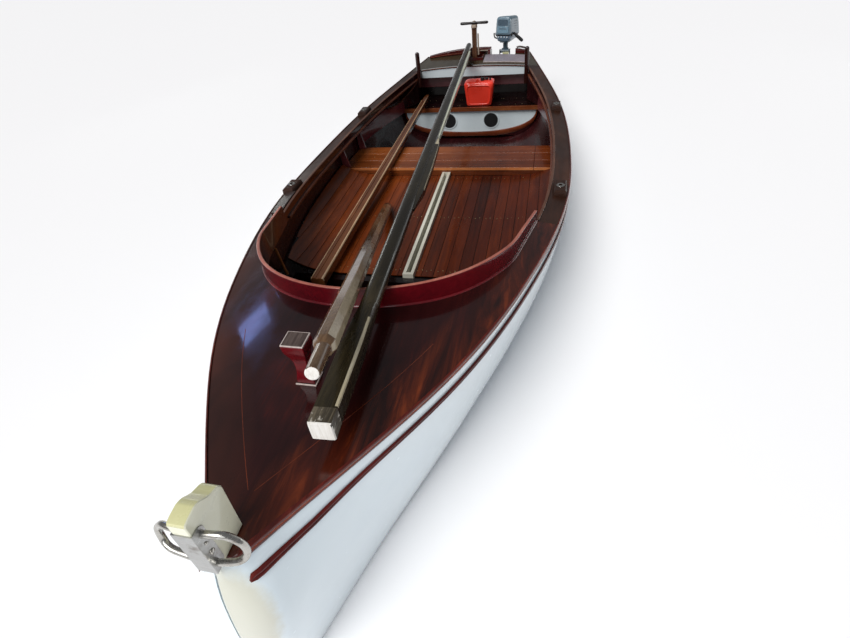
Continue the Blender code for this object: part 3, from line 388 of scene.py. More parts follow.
# Woods: dark, middle and light tone, roughness, varnish. Paints and plastics: colour, roughness.
MAT = {
    "hull": hull_paint(),
    # edge: painted light along the rails, streaked bright on the port side.
    "deck": wood("deck_mahogany", (14, 5, 6), (40, 13, 13), (86, 26, 16), 0.14, 0.55, patch=0.9, fine=0.7,
                 edge=((32, 12, 9), (70, 26, 14), (132, 58, 26))),
    "side": wood("side_deck_mahogany", (22, 12, 8), (54, 30, 19), (96, 54, 34), 0.36, 0.2, patch=0.8),
    "aft": wood("aft_deck_wood", (30, 24, 15), (60, 52, 36), (92, 82, 58), 0.22, 0.5, patch=0.6),
    "rail": wood("rail_mahogany", (32, 8, 8), (92, 28, 18), (160, 66, 34), 0.2, 0.9, fine=1.6),
    "groove": wood("rail_groove", (120, 48, 26), (176, 84, 50), (214, 140, 104), 0.3, 0.5, fine=1.6),
    "strake": wood("strake_mahogany", (36, 8, 10), (92, 24, 20), (132, 44, 30), 0.2, 0.9, fine=1.6),
    "coaming": wood("coaming_crimson", (52, 5, 12), (96, 10, 20), (132, 24, 28), 0.16, 0.9, patch=0.7),
    "coaming_in": wood("coaming_inner", (16, 5, 4), (42, 12, 9), (72, 24, 16), 0.2, 0.8, patch=0.7),
    # Painted light: the lit top edge of the coaming.
    "top_edge": wood("coaming_top_painted_light", (116, 56, 48), (174, 104, 88), (224, 184, 170), 0.3, 0.5, fine=2.0, patch=0.9),
    "edge_line": wood("edge_board_top", (56, 32, 24), (96, 62, 46), (150, 112, 90), 0.3, 0.4, fine=2.0),
    # side: painted shade on the port side of the sole and the cross planks.
    "sole": wood("sole_planks", (54, 21, 8), (120, 54, 18), (172, 88, 34), 0.32, 0.2, patch=0.35, plank=(0, PLANK),
                 side=(160, 132, 104)),
    "cross": wood("cross_planks", (66, 29, 12), (126, 64, 26), (170, 98, 46), 0.28, 0.45, "X", patch=0.3,
                  plank=(1, 0.129), side=(210, 190, 186)),
    "inner": wood("inner_hull", (16, 5, 7), (40, 13, 15), (72, 28, 30), 0.26, 0.5, patch=0.7),
    # Near-black: dark varnish, with the shade that falls on the aft seat painted into its tone.
    "seat": wood("seat_mahogany", (5, 3, 3), (14, 6, 6), (34, 13, 10), 0.2, 0.5, "X", patch=0.7),
    "light_wood": wood("light_wood", (60, 28, 16), (112, 58, 32), (164, 108, 66), 0.26, 0.5, "X"),
    "side_light": wood("side_light_wood", (56, 26, 18), (104, 56, 38), (156, 100, 74), 0.26, 0.5),
    "stick": wood("stick_wood", (150, 74, 34), (196, 124, 74), (226, 190, 156), 0.3, 0.3),
    "rim": wood("rim_wood", (52, 20, 12), (104, 46, 26), (150, 82, 46), 0.2, 0.8, "X"),
    "back": wood("seat_back_red", (64, 24, 30), (112, 58, 62), (160, 110, 116), 0.2, 0.9, "X", patch=0.9),
    "stern": wood("stern_crimson", (30, 6, 6), (68, 16, 14), (108, 38, 28), 0.2, 0.8, "X"),
    "post": wood("post_wood", (16, 7, 7), (44, 18, 14), (84, 42, 32), 0.22, 0.8, "Z"),
    "dark_top": wood("weathered_end", (30, 26, 24), (62, 50, 46), (118, 104, 98), 0.3, 0.5, fine=2.5),
    "pale_rim": wood("worn_rim", (120, 104, 98), (176, 162, 156), (214, 206, 202), 0.35, 0.3, fine=2.0),
    "tiller": wood("tiller_wood", (36, 19, 13), (80, 50, 34), (132, 98, 74), 0.26, 0.6, "Z"),
    "tiller_pale": wood("tiller_pale", (100, 84, 70), (160, 144, 128), (206, 196, 184), 0.3, 0.4, "Z"),
    "mast": wood("mast_varnish", (12, 10, 6), (34, 29, 18), (76, 66, 44), 0.26, 0.4, patch=0.7),
    "mast_worn": wood("mast_worn", (20, 19, 15), (58, 52, 42), (150, 138, 116), 0.4, 0.2, fine=2.2,
                      wear=((214, 208, 196), 9.0, 0.55)),
    "mast_line": wood("mast_line", (120, 108, 84), (176, 166, 140), (220, 214, 196), 0.3, 0.5, fine=2.0),
    "butt": wood("bare_end_grain", (160, 152, 140), (220, 216, 210), (246, 245, 244), 0.7, 0.0, "Z", fine=3.0,
                 wear=((120, 110, 98), 22.0, 0.62)),
    "yard": wood("octagonal_spar_wood", (40, 27, 18), (88, 64, 44), (136, 112, 84), 0.16, 0.9, patch=0.7,
                 wear=((176, 156, 124), 6.0, 0.62)),
    "board_edge": wood("board_front_edge", (120, 62, 30), (190, 116, 66), (226, 160, 106), 0.3, 0.4, "X", fine=2.0),
    # Painted highlight: the pale reflection on the spar's port facets.
    "yard_worn": wood("octagonal_spar_painted_highlight", (70, 56, 40), (134, 118, 92), (196, 184, 156), 0.2, 0.8, patch=0.9,
                      fine=1.6),
    "boom": wood("long_spar_wood", (44, 23, 12), (96, 54, 28), (150, 92, 50), 0.2, 0.8, patch=0.6),
    "boom_edge": wood("long_spar_edge", (130, 96, 66), (190, 158, 124), (226, 206, 180), 0.25, 0.6, fine=2.0),
    "shelf": wood("side_board", (60, 18, 22), (112, 48, 52), (160, 98, 96), 0.22, 0.7, patch=0.8),
    "strip_cream": paint("mast_strip_cream", (206, 208, 184), 0.22, (150, 156, 148), 0.9),
    "cream": paint("cream_paint", (228, 228, 206), 0.3, (206, 202, 168), 0.6),
    "case": paint("case_white", (222, 220, 206), 0.3, (150, 140, 120), 0.5),
    "white": paint("bulkhead_white", (220, 230, 234), 0.2, (190, 204, 212), 0.4),
    # Painted shade and reflection on the top faces of the stem post.
    "yellow": paint("stem_top_painted_shade", (206, 204, 156), 0.25, (186, 178, 120), 0.6),
    "plate": paint("clamp_plate_cream", (206, 204, 160), 0.35),
    "lilac": paint("motor_board", (150, 142, 150), 0.3, (110, 100, 112), 0.6),
    "steel": metal("worn_steel", (186, 184, 178), 0.24, (120, 104, 84)),
    "band": metal("band_steel", (178, 178, 176), 0.34, (110, 100, 90)),
    "copper": metal("copper_strip", (190, 120, 84), 0.35, (120, 70, 50)),
    "brass": metal("aged_brass", (196, 178, 132), 0.3, (110, 92, 58)),
    "black": plastic("black_rubber", (22, 22, 24), 0.45),
    "seam": plastic("seam_pitch", (8, 5, 5), 0.6),
    "red": plastic("can_red", (240, 62, 44), 0.26, 0.3, 0.08, grain=90),
    "cowl": plastic("cowl_grey", (98, 120, 134), 0.22, 0.6, 0.05),
    "cowl_pale": plastic("cowl_panel", (118, 148, 166), 0.2, 0.6, 0.05),
    "pan_pale": plastic("pan_blue_grey", (104, 124, 142), 0.28, 0.4, 0.06),
    "pan": plastic("pan_grey", (72, 90, 104), 0.3, 0.3, 0.06),
    "leg": plastic("leg_grey", (62, 78, 90), 0.36, 0.2, 0.08),
    "glass": plastic("gauge_face", (210, 216, 220), 0.2),
}


def listed(names):
    return [names] if isinstance(names, str) else names


def place(name, data):
    obj = bpy.data.objects.new(name, data)
    bpy.context.scene.collection.objects.link(obj)
    return obj


def as_object(name, bm, shift=-LENGTH / 2):
    """An object from a bmesh given in s coordinates."""
    if shift:
        bmesh.ops.translate(bm, verts=bm.verts, vec=(0, shift, 0))
    bmesh.ops.recalc_face_normals(bm, faces=bm.faces)
    mesh = bpy.data.meshes.new(name)
    bm.to_mesh(mesh)
    bm.free()
    return place(name, mesh)


def add_bevel(obj, width, segments, angle):
    mod = obj.modifiers.new("edge", "BEVEL")
    mod.width = width
    mod.segments = segments
    mod.limit_method = "ANGLE"
    mod.angle_limit = radians(angle)


def dress(obj, mats, body="boat", replaces=(), smooth=True, sharp=SHARP, bevel=0.0, segments=2):
    """Materials, shading, body and replaced nodes of a piece."""
    mesh = obj.data
    for key in listed(mats):
        mesh.materials.append(MAT[key])
    if smooth:
        mesh.shade_smooth()
        mesh.set_sharp_from_angle(angle=radians(sharp))
    if bevel:
        add_bevel(obj, bevel, segments, SHARP)
    mod = obj.modifiers.new("normals", "WEIGHTED_NORMAL")
    mod.keep_sharp = True
    mod.weight = 80
    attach(obj, body)
    if replaces:
        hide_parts(*listed(replaces))


def finish_mesh(name, bm, mats, **more):
    bmesh.ops.remove_doubles(bm, verts=bm.verts, dist=WELD)
    dress(as_object(name, bm), mats, **more)


def add_loft(bm, rings, close=False, mat=0, bands=()):
    """Faces between rings, with end caps. Strips named in bands take material 1."""
    loops = [[bm.verts.new(p) for p in ring] for ring in rings]
    count = len(loops[0])
    pairs = list(zip(loops, loops[1:]))
    if close:
        pairs.append((loops[-1], loops[0]))
    for a, b in pairs:
        for i in range(count):
            j = (i + 1) % count
            bm.faces.new((a[i], a[j], b[j], b[i])).material_index = 1 if i in bands else mat
    if not close:
        for end in (loops[0], loops[-1]):
            bm.faces.new(end).material_index = mat


def piece(name, mats, *parts, pick=None, close=False, bands=(), **more):
    """A piece of one or more lofts. pick gives a face's material by its centre."""
    bm = bmesh.new()
    for rings in parts:
        add_loft(bm, rings, close, bands=bands)
    if pick:
        for face in bm.faces:
            face.material_index = int(pick(face.calc_center_median()))
    finish_mesh(name, bm, mats, **more)


def block(x0, x1, s0, s1, z0, z1):
    """Rings of a plain box."""
    return [[(x, s, z) for x, s in ((x0, s0), (x1, s0), (x1, s1), (x0, s1))] for z in (z0, z1)]


def slab(ring, *stations):
    """Rings from an (x, z) outline at the given stations."""
    return [[(x, s, z) for x, z in ring] for s in stations]


def around(count, turn=0.0):
    """Cosines and sines in even steps of a full turn."""
    angles = [2 * pi * (k + turn) / count for k in range(count)]
    return [(cos(a), sin(a)) for a in angles]


def squared(count, power):
    """The same for a rounded square, squarer the lower the power."""
    return [[copysign(abs(v) ** power, v) for v in pair] for pair in around(count, 0.5)]


def tangents(path, loop=False):
    last = len(path) - 1
    if loop:
        return [(path[(k + 1) % (last + 1)] - path[k - 1]).normalized() for k in range(last + 1)]
    return [(path[min(k + 1, last)] - path[max(k - 1, 0)]).normalized() for k in range(last + 1)]


def turned(start, end, radii, count, turn=0.0):
    """Round rings between two points; radii are (t, radius) pairs."""
    a = Vector(start)
    b = Vector(end)
    axis = (b - a).normalized()
    side = axis.cross(Vector((0, 0, 1)))
    if side.length < 0.01:
        side = Vector((1, 0, 0))
    side.normalize()
    up = side.cross(axis).normalized()
    return [[a.lerp(b, t) + radius * (c * side + d * up) for c, d in around(count, turn)] for t, radius in radii]


def tube(points, radius, count):
    """Rings along a path, kept from twisting."""
    rings = []
    side = None
    for point, tangent in zip(points, tangents(points)):
        if side is None:
            side = tangent.cross(Vector((0.3, 0.2, 1))).normalized()
        side = (side - tangent * side.dot(tangent)).normalized()
        other = tangent.cross(side)
        rings.append([point + radius * (c * side + d * other) for c, d in around(count)])
    return rings


def smooth_path(points, count):
    """Points on a curve through the given ones."""
    ts = list(range(len(points)))
    curves = [make_curve(ts, [p[i] for p in points]) for i in range(3)]
    return [Vector([c(k * (len(points) - 1) / (count - 1)) for c in curves]) for k in range(count)]


def screw(x, s, z, radius=0.004):
    """A low domed screw head."""
    return [[(x + radius * r * c, s + radius * r * d, z + h) for c, d in around(10)]
            for r, h in ((1.0, -0.0006), (1.0, 0.0002), (0.8, 0.0008), (0.35, 0.0011))]


def raw(name, rings):
    """A bare closed solid for cutting."""
    bm = bmesh.new()
    add_loft(bm, rings)
    return as_object(name, bm)


def cut(target, name, rings):
    """Cut a solid out of the target for good."""
    cutter = raw(name, rings)
    mod = target.modifiers.new("cut", "BOOLEAN")
    mod.operation = "DIFFERENCE"
    mod.solver = "EXACT"
    mod.object = cutter
    graph = bpy.context.evaluated_depsgraph_get()
    mesh = bpy.data.meshes.new_from_object(target.evaluated_get(graph))
    target.modifiers.clear()
    old = target.data
    target.data = mesh
    mesh.name = old.name
    bpy.data.objects.remove(cutter, do_unlink=True)


def node_look(node, mat, bevel=0.0, segments=2):
    """Dress a CAD node as it is."""
    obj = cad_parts[node]
    if not obj.material_slots:
        obj.data.materials.append(MAT[mat])
    for slot in obj.material_slots:
        slot.material = MAT[mat]
    if bevel:
        add_bevel(obj, bevel, segments, 35)


def make_camera():
    data = bpy.data.cameras.new("camera")
    data.sensor_fit = "HORIZONTAL"
    data.sensor_width = 36.0
    data.lens = FOCAL_PIXELS * data.sensor_width / PICTURE_WIDTH
    data.clip_start = 0.01
    data.clip_end = 100.0
    camera = place("camera", data)
    camera.matrix_world = Matrix(((0.97402330, -0.06538253, 0.21680344, 0.70184155),
                                  (0.20392219, 0.66953931, -0.71423585, -2.83433382),
                                  (-0.09845988, 0.73989339, 0.66547984, 1.84000248),
                                  (0.0, 0.0, 0.0, 1.0)))
    bpy.context.scene.camera = camera


def make_floor():
    """A pale floor at the waterline, open where the hull passes through it."""
    line = [(hull_half(s, 0.0) - 0.012, s - LENGTH / 2) for s in spread([0.10, 4.70], 0.1) if hull_half(s, 0.0) > 0.02]
    line = line + [(-x, y) for x, y in reversed(line)]
    bm = bmesh.new()
    near = [bm.verts.new((x, y, 0.0)) for x, y in line]
    far = []
    for x, y in line:
        angle = atan2(y - 0.1, x)
        far.append(bm.verts.new((FLOOR_RADIUS * cos(angle), FLOOR_RADIUS * sin(angle), 0.0)))
    for k in range(len(line)):
        j = (k + 1) % len(line)
        bm.faces.new((near[k], near[j], far[j], far[k]))
    floor = as_object("floor", bm, 0)
    floor.data.materials.append(Shader("floor_pale", (0.96, 0.96, 0.975, 1), 0.9, level=0.1).mat)


def make_light():
    scene = bpy.context.scene
    world = bpy.data.worlds.new("studio")
    world.use_nodes = True
    back = world.node_tree.nodes["Background"]
    back.inputs[0].default_value = (0.93, 0.95, 1.0, 1)
    back.inputs[1].default_value = 0.22
    scene.world = world
    scene.view_settings.view_transform = "Standard"
    sun = bpy.data.lights.new("key", "SUN")
    sun.energy = 2.9
    sun.angle = radians(40)
    sun.color = (1.0, 0.99, 0.97)
    place("key", sun).rotation_euler = Vector((-0.30, -0.62, 1.0)).to_track_quat("Z", "Y").to_euler()
    for name, spot, aim, size, height, power, colour in (
            ("port_low", (4.6, 3.4, 1.0), (0.0, 0.6, 0.6), 3.0, 0.5, 22, (0.93, 0.98, 0.95)),
            ("starboard_low", (-4.8, 3.6, 0.9), (0.0, 0.6, 0.6), 3.0, 0.5, 18, (0.96, 1.0, 0.94)),
            ("front", (0.2, -5.5, 2.6), (0.0, -2.0, 0.5), 3.0, 1.6, 34, (0.95, 0.97, 1.0)),
            ("violet", (-5.2, 2.9, 3.7), (-0.4, -1.4, 0.66), 0.9, 0.6, 9, (0.28, 0.42, 1.0))):
        data = bpy.data.lights.new(name, "AREA")
        data.shape = "RECTANGLE"
        data.size = size
        data.size_y = height
        data.energy = power
        data.color = colour
        lamp = place(name, data)
        lamp.location = spot
        lamp.rotation_euler = (Vector(aim) - Vector(spot)).to_track_quat("-Z", "Y").to_euler()
        # The low lamps and the violet one only show as reflections.
        lamp.visible_diffuse = name == "front"


FINE = [0.0, 0.003, 0.008, 0.015, 0.024, 0.036, 0.05, 0.07, 0.09, 0.12, 0.15, 0.19, 0.24, 0.30, 0.36, 0.44]
FINE += spread([0.52, 1.803, 2.9, AFT_DECK_S, HULL_AFT], 0.08)
GIRTH = 30


def section(s, low, drop, half):
    """Half a hull section from the keel up, stopping short of the sheer by drop."""
    top = sheer_z(s)
    ring = []
    for k in range(GIRTH + 1):
        angle = pi / 2 * k / GIRTH
        z = low + (top - low) * (1 - max(0.0, cos(angle)) ** (2 / fullness(s)))
        z = min(z, top - drop)
        x = 0.0 if k == 0 else max(half(s, z), 0.0005 * k)
        ring.append((x, hull_s(s, z), z))
    return ring


def mirrored(ring):
    return list(reversed(ring)) + [(-x, y, z) for x, y, z in ring[1:]]


def make_hull():
    rings = [mirrored(section(s, keel_z(s), DECK + GAP, hull_half)) for s in FINE]
    rings[0] = [(x * 0.2, y, z) for x, y, z in rings[0]]
    hull = raw("hull_skin", rings)
    inner = []
    for s in [v for v in FINE if 0.15 < v < 4.95] + [HULL_AFT + 0.05]:
        ring = section(s, keel_z(s) + SHELL, 0.0, inner_half)
        ring.append((ring[-1][0], hull_s(s, sheer_z(s)), sheer_z(s) + 0.1))
        inner.append(mirrored(ring))
    cut(hull, "hollow", inner)
    cut(hull, "slot", block(-SLOT_HALF, SLOT_HALF, SLOT_FRONT + 0.02, SLOT_AFT - 0.02, -0.6, 0.0))
    cut(hull, "bore", turned((0, RUDDER_S, -0.2), (0, RUDDER_S, 0.2), [(0, 0.019), (1, 0.019)], 32))
    mesh = hull.data
    mesh.materials.clear()
    mesh.materials.append(MAT["hull"])
    mesh.materials.append(MAT["inner"])
    for face in mesh.polygons:
        x, y, z = face.center
        s = y + LENGTH / 2
        inside = abs(x) < hull_half(s, z) - 0.6 * SHELL and z > keel_z(max(s, 0)) + 0.6 * SHELL and s > 0.2
        face.material_index = 1 if inside else 0
    mesh.shade_smooth()
    mesh.set_sharp_from_angle(angle=radians(40))
    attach(hull, "boat")
    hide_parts("hull_fore_port", "hull_fore_starboard", "hull_aft_port", "hull_aft_starboard")
    node_look("keel", "hull", 0.004)


def make_rails():
    stations = [s for s in FINE if s > 0.019]
    stations[-1] = LENGTH
    for sign, side in SIDES:
        rings = []
        for s in stations:
            z = sheer_z(s)
            x = hull_half(s, z) + 0.0010
            low = hull_half(s, z - 0.024) + 0.0010
            out = max(rail_half(s), x + 0.007, low + 0.006)
            outline = [(low, -0.024)] + [(out - d, h) for d, h in RAIL_NOSE] + [(x + 0.0012, 0.004), (x, 0.0026)]
            rings.append([(sign * px, hull_s(s, z + dz), z + dz) for px, dz in outline])
        piece("rail_" + side, ["rail", "groove"], rings, bands=(4, 5), replaces="gunwale_" + side, sharp=50)
        rings = []
        for s in [v for v in stations if v > 0.03]:
            z0 = sheer_z(s) - STRAKE_DROP + 0.022 * max(0.0, 1 - s / 0.2)
            rings.append([(sign * (hull_half(s, z0 + dz) + out), hull_s(s, z0 + dz), z0 + dz) for dz, out in STRAKE])
        # A smaller ring ahead of the first tapers the strake's end.
        first = rings[0]
        mid = [sum(p[i] for p in first) / len(first) for i in range(3)]
        ahead = (sign * -0.005, -0.012, 0.002)
        rings.insert(0, [tuple(mid[i] + (p[i] - mid[i]) * 0.35 + ahead[i] for i in range(3)) for p in first])
        piece("strake_" + side, ["strake", "groove"], rings, bands=(5,), replaces="rubbing_strake_" + side, sharp=50)


def coaming_path():
    """The coaming's inside line, from starboard round the bow to port."""
    index = [i / 5 for i in range(6)]
    knots = [-i for i in reversed(index)] + index[1:]
    across = make_curve(knots, [-x for x in reversed(COAMING_X)] + COAMING_X[1:])
    along = make_curve(knots, list(reversed(COAMING_S)) + COAMING_S[1:])
    ts = [2 * k / (COAMING_STEPS - 1) - 1 for k in range(COAMING_STEPS)]
    path = [Vector((across(t), along(t), 0)) for t in ts]
    return path, [Vector((t.y, -t.x, 0)) for t in tangents(path)]


def coaming_top(s):
    t = (s - COAMING_S[0]) / (COAMING_END - COAMING_S[0])
    return COAMING_Z[0] + t * (COAMING_Z[1] - COAMING_Z[0])


def make_coaming():
    path, outward = coaming_path()
    outline = [(0.0, None), (0.0, -0.0032), (-0.0010, -0.0010), (-0.0032, 0.0), (-0.0120, 0.0), (-0.0145, -0.0012),
               (-COAMING_THICK, -0.0040), (-COAMING_THICK, None)]
    rings = []
    for point, out in zip(path, outward):
        top = coaming_top(point.y)
        low = deck_z(point.x, point.y) - DECK - 0.035
        rings.append([point + out * d + Vector((0, 0, low if h is None else top + h)) for d, h in outline])
    bm = bmesh.new()
    add_loft(bm, rings)
    bm.normal_update()
    bmesh.ops.recalc_face_normals(bm, faces=bm.faces)
    middle = Vector((0, 1.75, 0))
    for face in bm.faces:
        c = face.calc_center_median()
        # Top faces take the painted light of the lit top edge; faces turned inward take the inner wood.
        if c.z > coaming_top(c.y) - 0.0018:
            face.material_index = 1
        elif (Vector((c.x, c.y, 0)) - middle).dot(Vector((face.normal.x, face.normal.y, 0))) < 0:
            face.material_index = 2
    finish_mesh("coaming_ring", bm, ["coaming", "top_edge", "coaming_in"], replaces="coaming", sharp=50)
    foot = ((0.0003, 0.0068), (0.0026, 0.0060), (0.0048, 0.0038), (0.0058, 0.0008), (0.0058, -0.001), (0.0003, -0.001))
    rings = [[point + out * d + Vector((0, 0, deck_z(point.x, point.y) + h)) for d, h in foot]
             for point, out in zip(path, outward)]
    piece("coaming_foot", "coaming", rings, sharp=60)


def deck_ring(s, x0, x1, across):
    y = hull_s(s, sheer_z(s))
    xs = [x0 + (x1 - x0) * k / across for k in range(across + 1)]
    return [(x, y, deck_z(x, s)) for x in xs] + [(x, y, deck_z(x, s) - DECK) for x in reversed(xs)]


def deck_solid(name, stations, across):
    halves = [(s, hull_half(s, sheer_z(s))) for s in stations]
    return raw(name, [deck_ring(s, -half, half, across) for s, half in halves])


def take(obj, mat, node):
    """Turn a raw deck into a finished piece."""
    obj.data.materials.clear()
    dress(obj, mat, replaces=node, sharp=35)


def edge_x(s):
    """Half breadth to the inner edge of the side deck."""
    return rail_half(s) - SIDE_DECK - GAP - 0.0006


def make_decks():
    deck = deck_solid("foredeck_panel", [v for v in FINE if 0.01 < v < COAMING_END + 0.001], 28)
    hole = [point + GAP * out for point, out in zip(*coaming_path())]
    outline = [(p.x, p.y) for p in hole] + [(hole[-1].x, 1.95), (-hole[-1].x, 1.95)]
    cut(deck, "deck_hole", [[(x, s, z) for x, s in outline] for z in (0.4, 0.9)])
    take(deck, "deck", "foredeck")
    side = [COAMING_END + GAP] + [s for s in FINE if COAMING_END + 0.01 < s < AFT_DECK_S - 0.01] + [AFT_DECK_S - GAP]
    board = ((0, -0.060), (0, -0.003), (-0.001, -0.0008), (-0.003, 0.0), (-0.013, 0.0), (-0.0152, -0.001),
             (-0.016, -0.0035), (-0.016, -0.060))
    strip = ((0, -0.012), (0, 0.001), (-0.009, 0.001), (-0.011, -0.002), (-0.011, -0.012))
    for sign, label in SIDES:
        rings = [deck_ring(s, sign * (rail_half(s) - SIDE_DECK), sign * hull_half(s, sheer_z(s)), 5) for s in side]
        piece("side_deck_panel_" + label, "side", rings, replaces="side_deck_" + label)
        rings = []
        for s in [COAMING_END + 0.006] + side[1:]:
            top = deck_z(edge_x(s), s) + 0.006
            rings.append([(sign * (edge_x(s) + d), s, top + h) for d, h in board])
        piece("edge_board_" + label, ["coaming_in", "edge_line"], rings, replaces="cockpit_edge_" + label, sharp=50,
              pick=lambda c: c.z > deck_z(edge_x(c.y), c.y) + 0.0035)
        rings = []
        for s in [v for v in side if COAMING_END + 0.02 < v < AFT_DECK_S - 0.02]:
            x = edge_x(s) - 0.0162
            top = deck_z(x, s) - 0.044
            rings.append([(sign * (x + d), s, top + h) for d, h in strip])
        piece("edge_strip_" + label, "side_light", rings, sharp=40)
    pad = ((0.098, 0.0005), (0.098, 0.010), (0.095, 0.012), (0.033, 0.012), (0.030, 0.010), (0.030, 0.0005))
    rings = [[(-x + d, s, deck_z(x - d, s) + h) for d, h in pad]
             for s, x in [(v, rail_half(v)) for v in spread([1.84, 2.12], 0.07)]]
    piece("deck_doubler", "dark_top", rings, bevel=0.001)
    deck = deck_solid("aft_deck_panel", spread([AFT_DECK_S, HULL_AFT], 0.06), 24)
    cut(deck, "trunk_hole", block(-0.0555, 0.0805, 4.7295, 4.8655, 0.3, 0.8))
    cut(deck, "motor_hole", block(NOTCH[0], NOTCH[1], 4.90, 5.2, 0.3, 0.8))
    take(deck, "aft", "aft_deck")
    seams = []
    for sign, _ in SIDES:
        rings = []
        for s in [v for v in FINE if 0.18 < v < 0.86]:
            x = sign * (rail_half(s) - 0.141)
            if abs(x) >= 0.004:
                corners = ((-0.0012, -0.001), (-0.0012, 0.0003), (0.0012, 0.0003), (0.0012, -0.001))
                rings.append([(x + d, hull_s(s, sheer_z(s)), deck_z(x, s) + h) for d, h in corners])
        seams.append(rings)
    piece("deck_seams", "rim", *seams, smooth=False)


def stem_front(z):
    """The raked front of the stem post."""
    return -0.0255 + (z - 0.697) * 0.065


def make_bow():
    foot = max([sheer_z(0.02) + 0.004] + [deck_z(0.0, s) for s in (0.006, 0.02, 0.05, 0.10)]) + GAP
    top = smooth_path([(0.110, 0.852, 0), (0.100, 0.868, 0), (0.072, 0.880, 0), (0.050, 0.898, 0), (0.030, 0.906, 0)],
                      17)
    head = [(stem_front(foot), foot), (0.094, foot)] + [(p.x, p.y) for p in top]
    head += [(0.006, 0.9040), (stem_front(0.894) + 0.004, 0.9005), (stem_front(0.894), 0.894)]
    rings = []
    for x, shrink in ((-STEM_HALF, 0.0025), (-STEM_HALF + 0.0025, 0.0), (STEM_HALF - 0.0025, 0.0), (STEM_HALF, 0.0025)):
        rings.append([(x, s + (0.04 - s) * shrink / 0.06, z + (0.80 - z) * shrink / 0.11 * (1 if z > 0.72 else 0))
                      for s, z in head])
    bm = bmesh.new()
    add_loft(bm, rings)
    bmesh.ops.recalc_face_normals(bm, faces=bm.faces)
    for face in bm.faces:
        # Upward faces take the painted shade and reflection of the stem's top.
        face.material_index = 1 if face.normal.z > 0.25 and abs(face.normal.x) < 0.5 else 0
    finish_mesh("stem_post", bm, ["cream", "yellow"], replaces="stem_head", sharp=30)
    inner = STEM_HALF + GAP
    outer = inner + 0.0026
    rings = []
    for z, reach in ((0.698, 0.016), (0.6995, 0.022), (0.703, 0.0285), (0.708, 0.0330), (0.714, 0.0345),
                     (0.846, 0.0345), (0.852, 0.0330), (0.858, 0.0280), (0.862, 0.020)):
        web = stem_front(z) - GAP
        ring = [(outer - 0.0008, web - 0.003, z), (outer, web - 0.0022, z), (outer, web + reach - 0.0006, z),
                (outer - 0.0006, web + reach, z), (inner, web + reach, z), (inner, web, z)]
        rings.append(ring + [(-x, s, z) for x, s, z in reversed(ring)])
    piece("stem_strap", "band", rings, replaces="stem_band", sharp=40)
    half = [Vector(p) for p in RING_PATH]
    loop = smooth_path([half[0]] + half + [half[-1]], 45)
    loop = [Vector((0.0, half[0].y, half[0].z))] + loop[2:-2] + [Vector((0.0, half[-1].y, half[-1].z))]
    path = loop[1:] + [Vector((-p.x, p.y, p.z)) for p in reversed(loop[1:])]
    rings = []
    for point, tangent in zip(path, tangents(path, loop=True)):
        normal = tangent.cross(Vector((0, 1, 0))).normalized()
        other = tangent.cross(normal)
        rings.append([point + RING_ROD * (c * normal + d * other) for c, d in around(20)])
    piece("bow_loop", "steel", rings, close=True, replaces="bow_ring", sharp=80)
    bolts = [turned((sign * (outer - 0.0004), s, z), (sign * (outer + 0.0042), s, z),
                    [(0, r), (0.45, r), (0.8, r * 0.8), (1, r * 0.35)], 20)
             for sign, _ in SIDES for s, z, r in ((-0.004, 0.768, 0.0075), (-0.002, 0.805, 0.0045))]
    piece("strap_bolts", "steel", *bolts, sharp=60)


def make_bitt():
    x, s = 0.004, 0.588
    rings = []
    for z, h in ((0.686, 0.0310), (0.700, 0.0310), (0.712, 0.0285), (0.726, 0.0255), (0.742, 0.0235), (0.760, 0.0230),
                 (0.778, 0.0238), (0.796, 0.0272), (0.812, 0.0322), (0.826, 0.0362), (0.838, 0.0378), (0.8570, 0.0380)):
        rings.append([(x + h, s - 0.88 * h, z), (x + h, s + 0.88 * h, z), (x - h, s + 0.88 * h, z),
                      (x - h, s - 0.88 * h, z)])
    piece("bitt_post", "coaming", rings, replaces="mooring_bitt", bevel=0.003, segments=3, sharp=40)
    piece("bitt_rim", "pale_rim", block(x - 0.0376, x + 0.0376, s - 0.0334, s + 0.0334, 0.8571, 0.8610), bevel=0.0014)
    piece("bitt_cap", "dark_top", block(x - 0.0340, x + 0.0340, s - 0.0296, s + 0.0300, 0.8608, 0.8619), bevel=0.0006)
    base = deck_z(0.0, s) + 0.0004
    piece("bitt_bead", "pale_rim", block(x - 0.036, x + 0.036, s - 0.0335, s - 0.0285, base, base + 0.005),
          block(x + 0.0318, x + 0.036, s - 0.0284, s + 0.030, base, base + 0.005), bevel=0.0012)


def sole_half(s, gap=0.010):
    return inner_half(s, SOLE_Z - 0.018 + 0.092) - gap


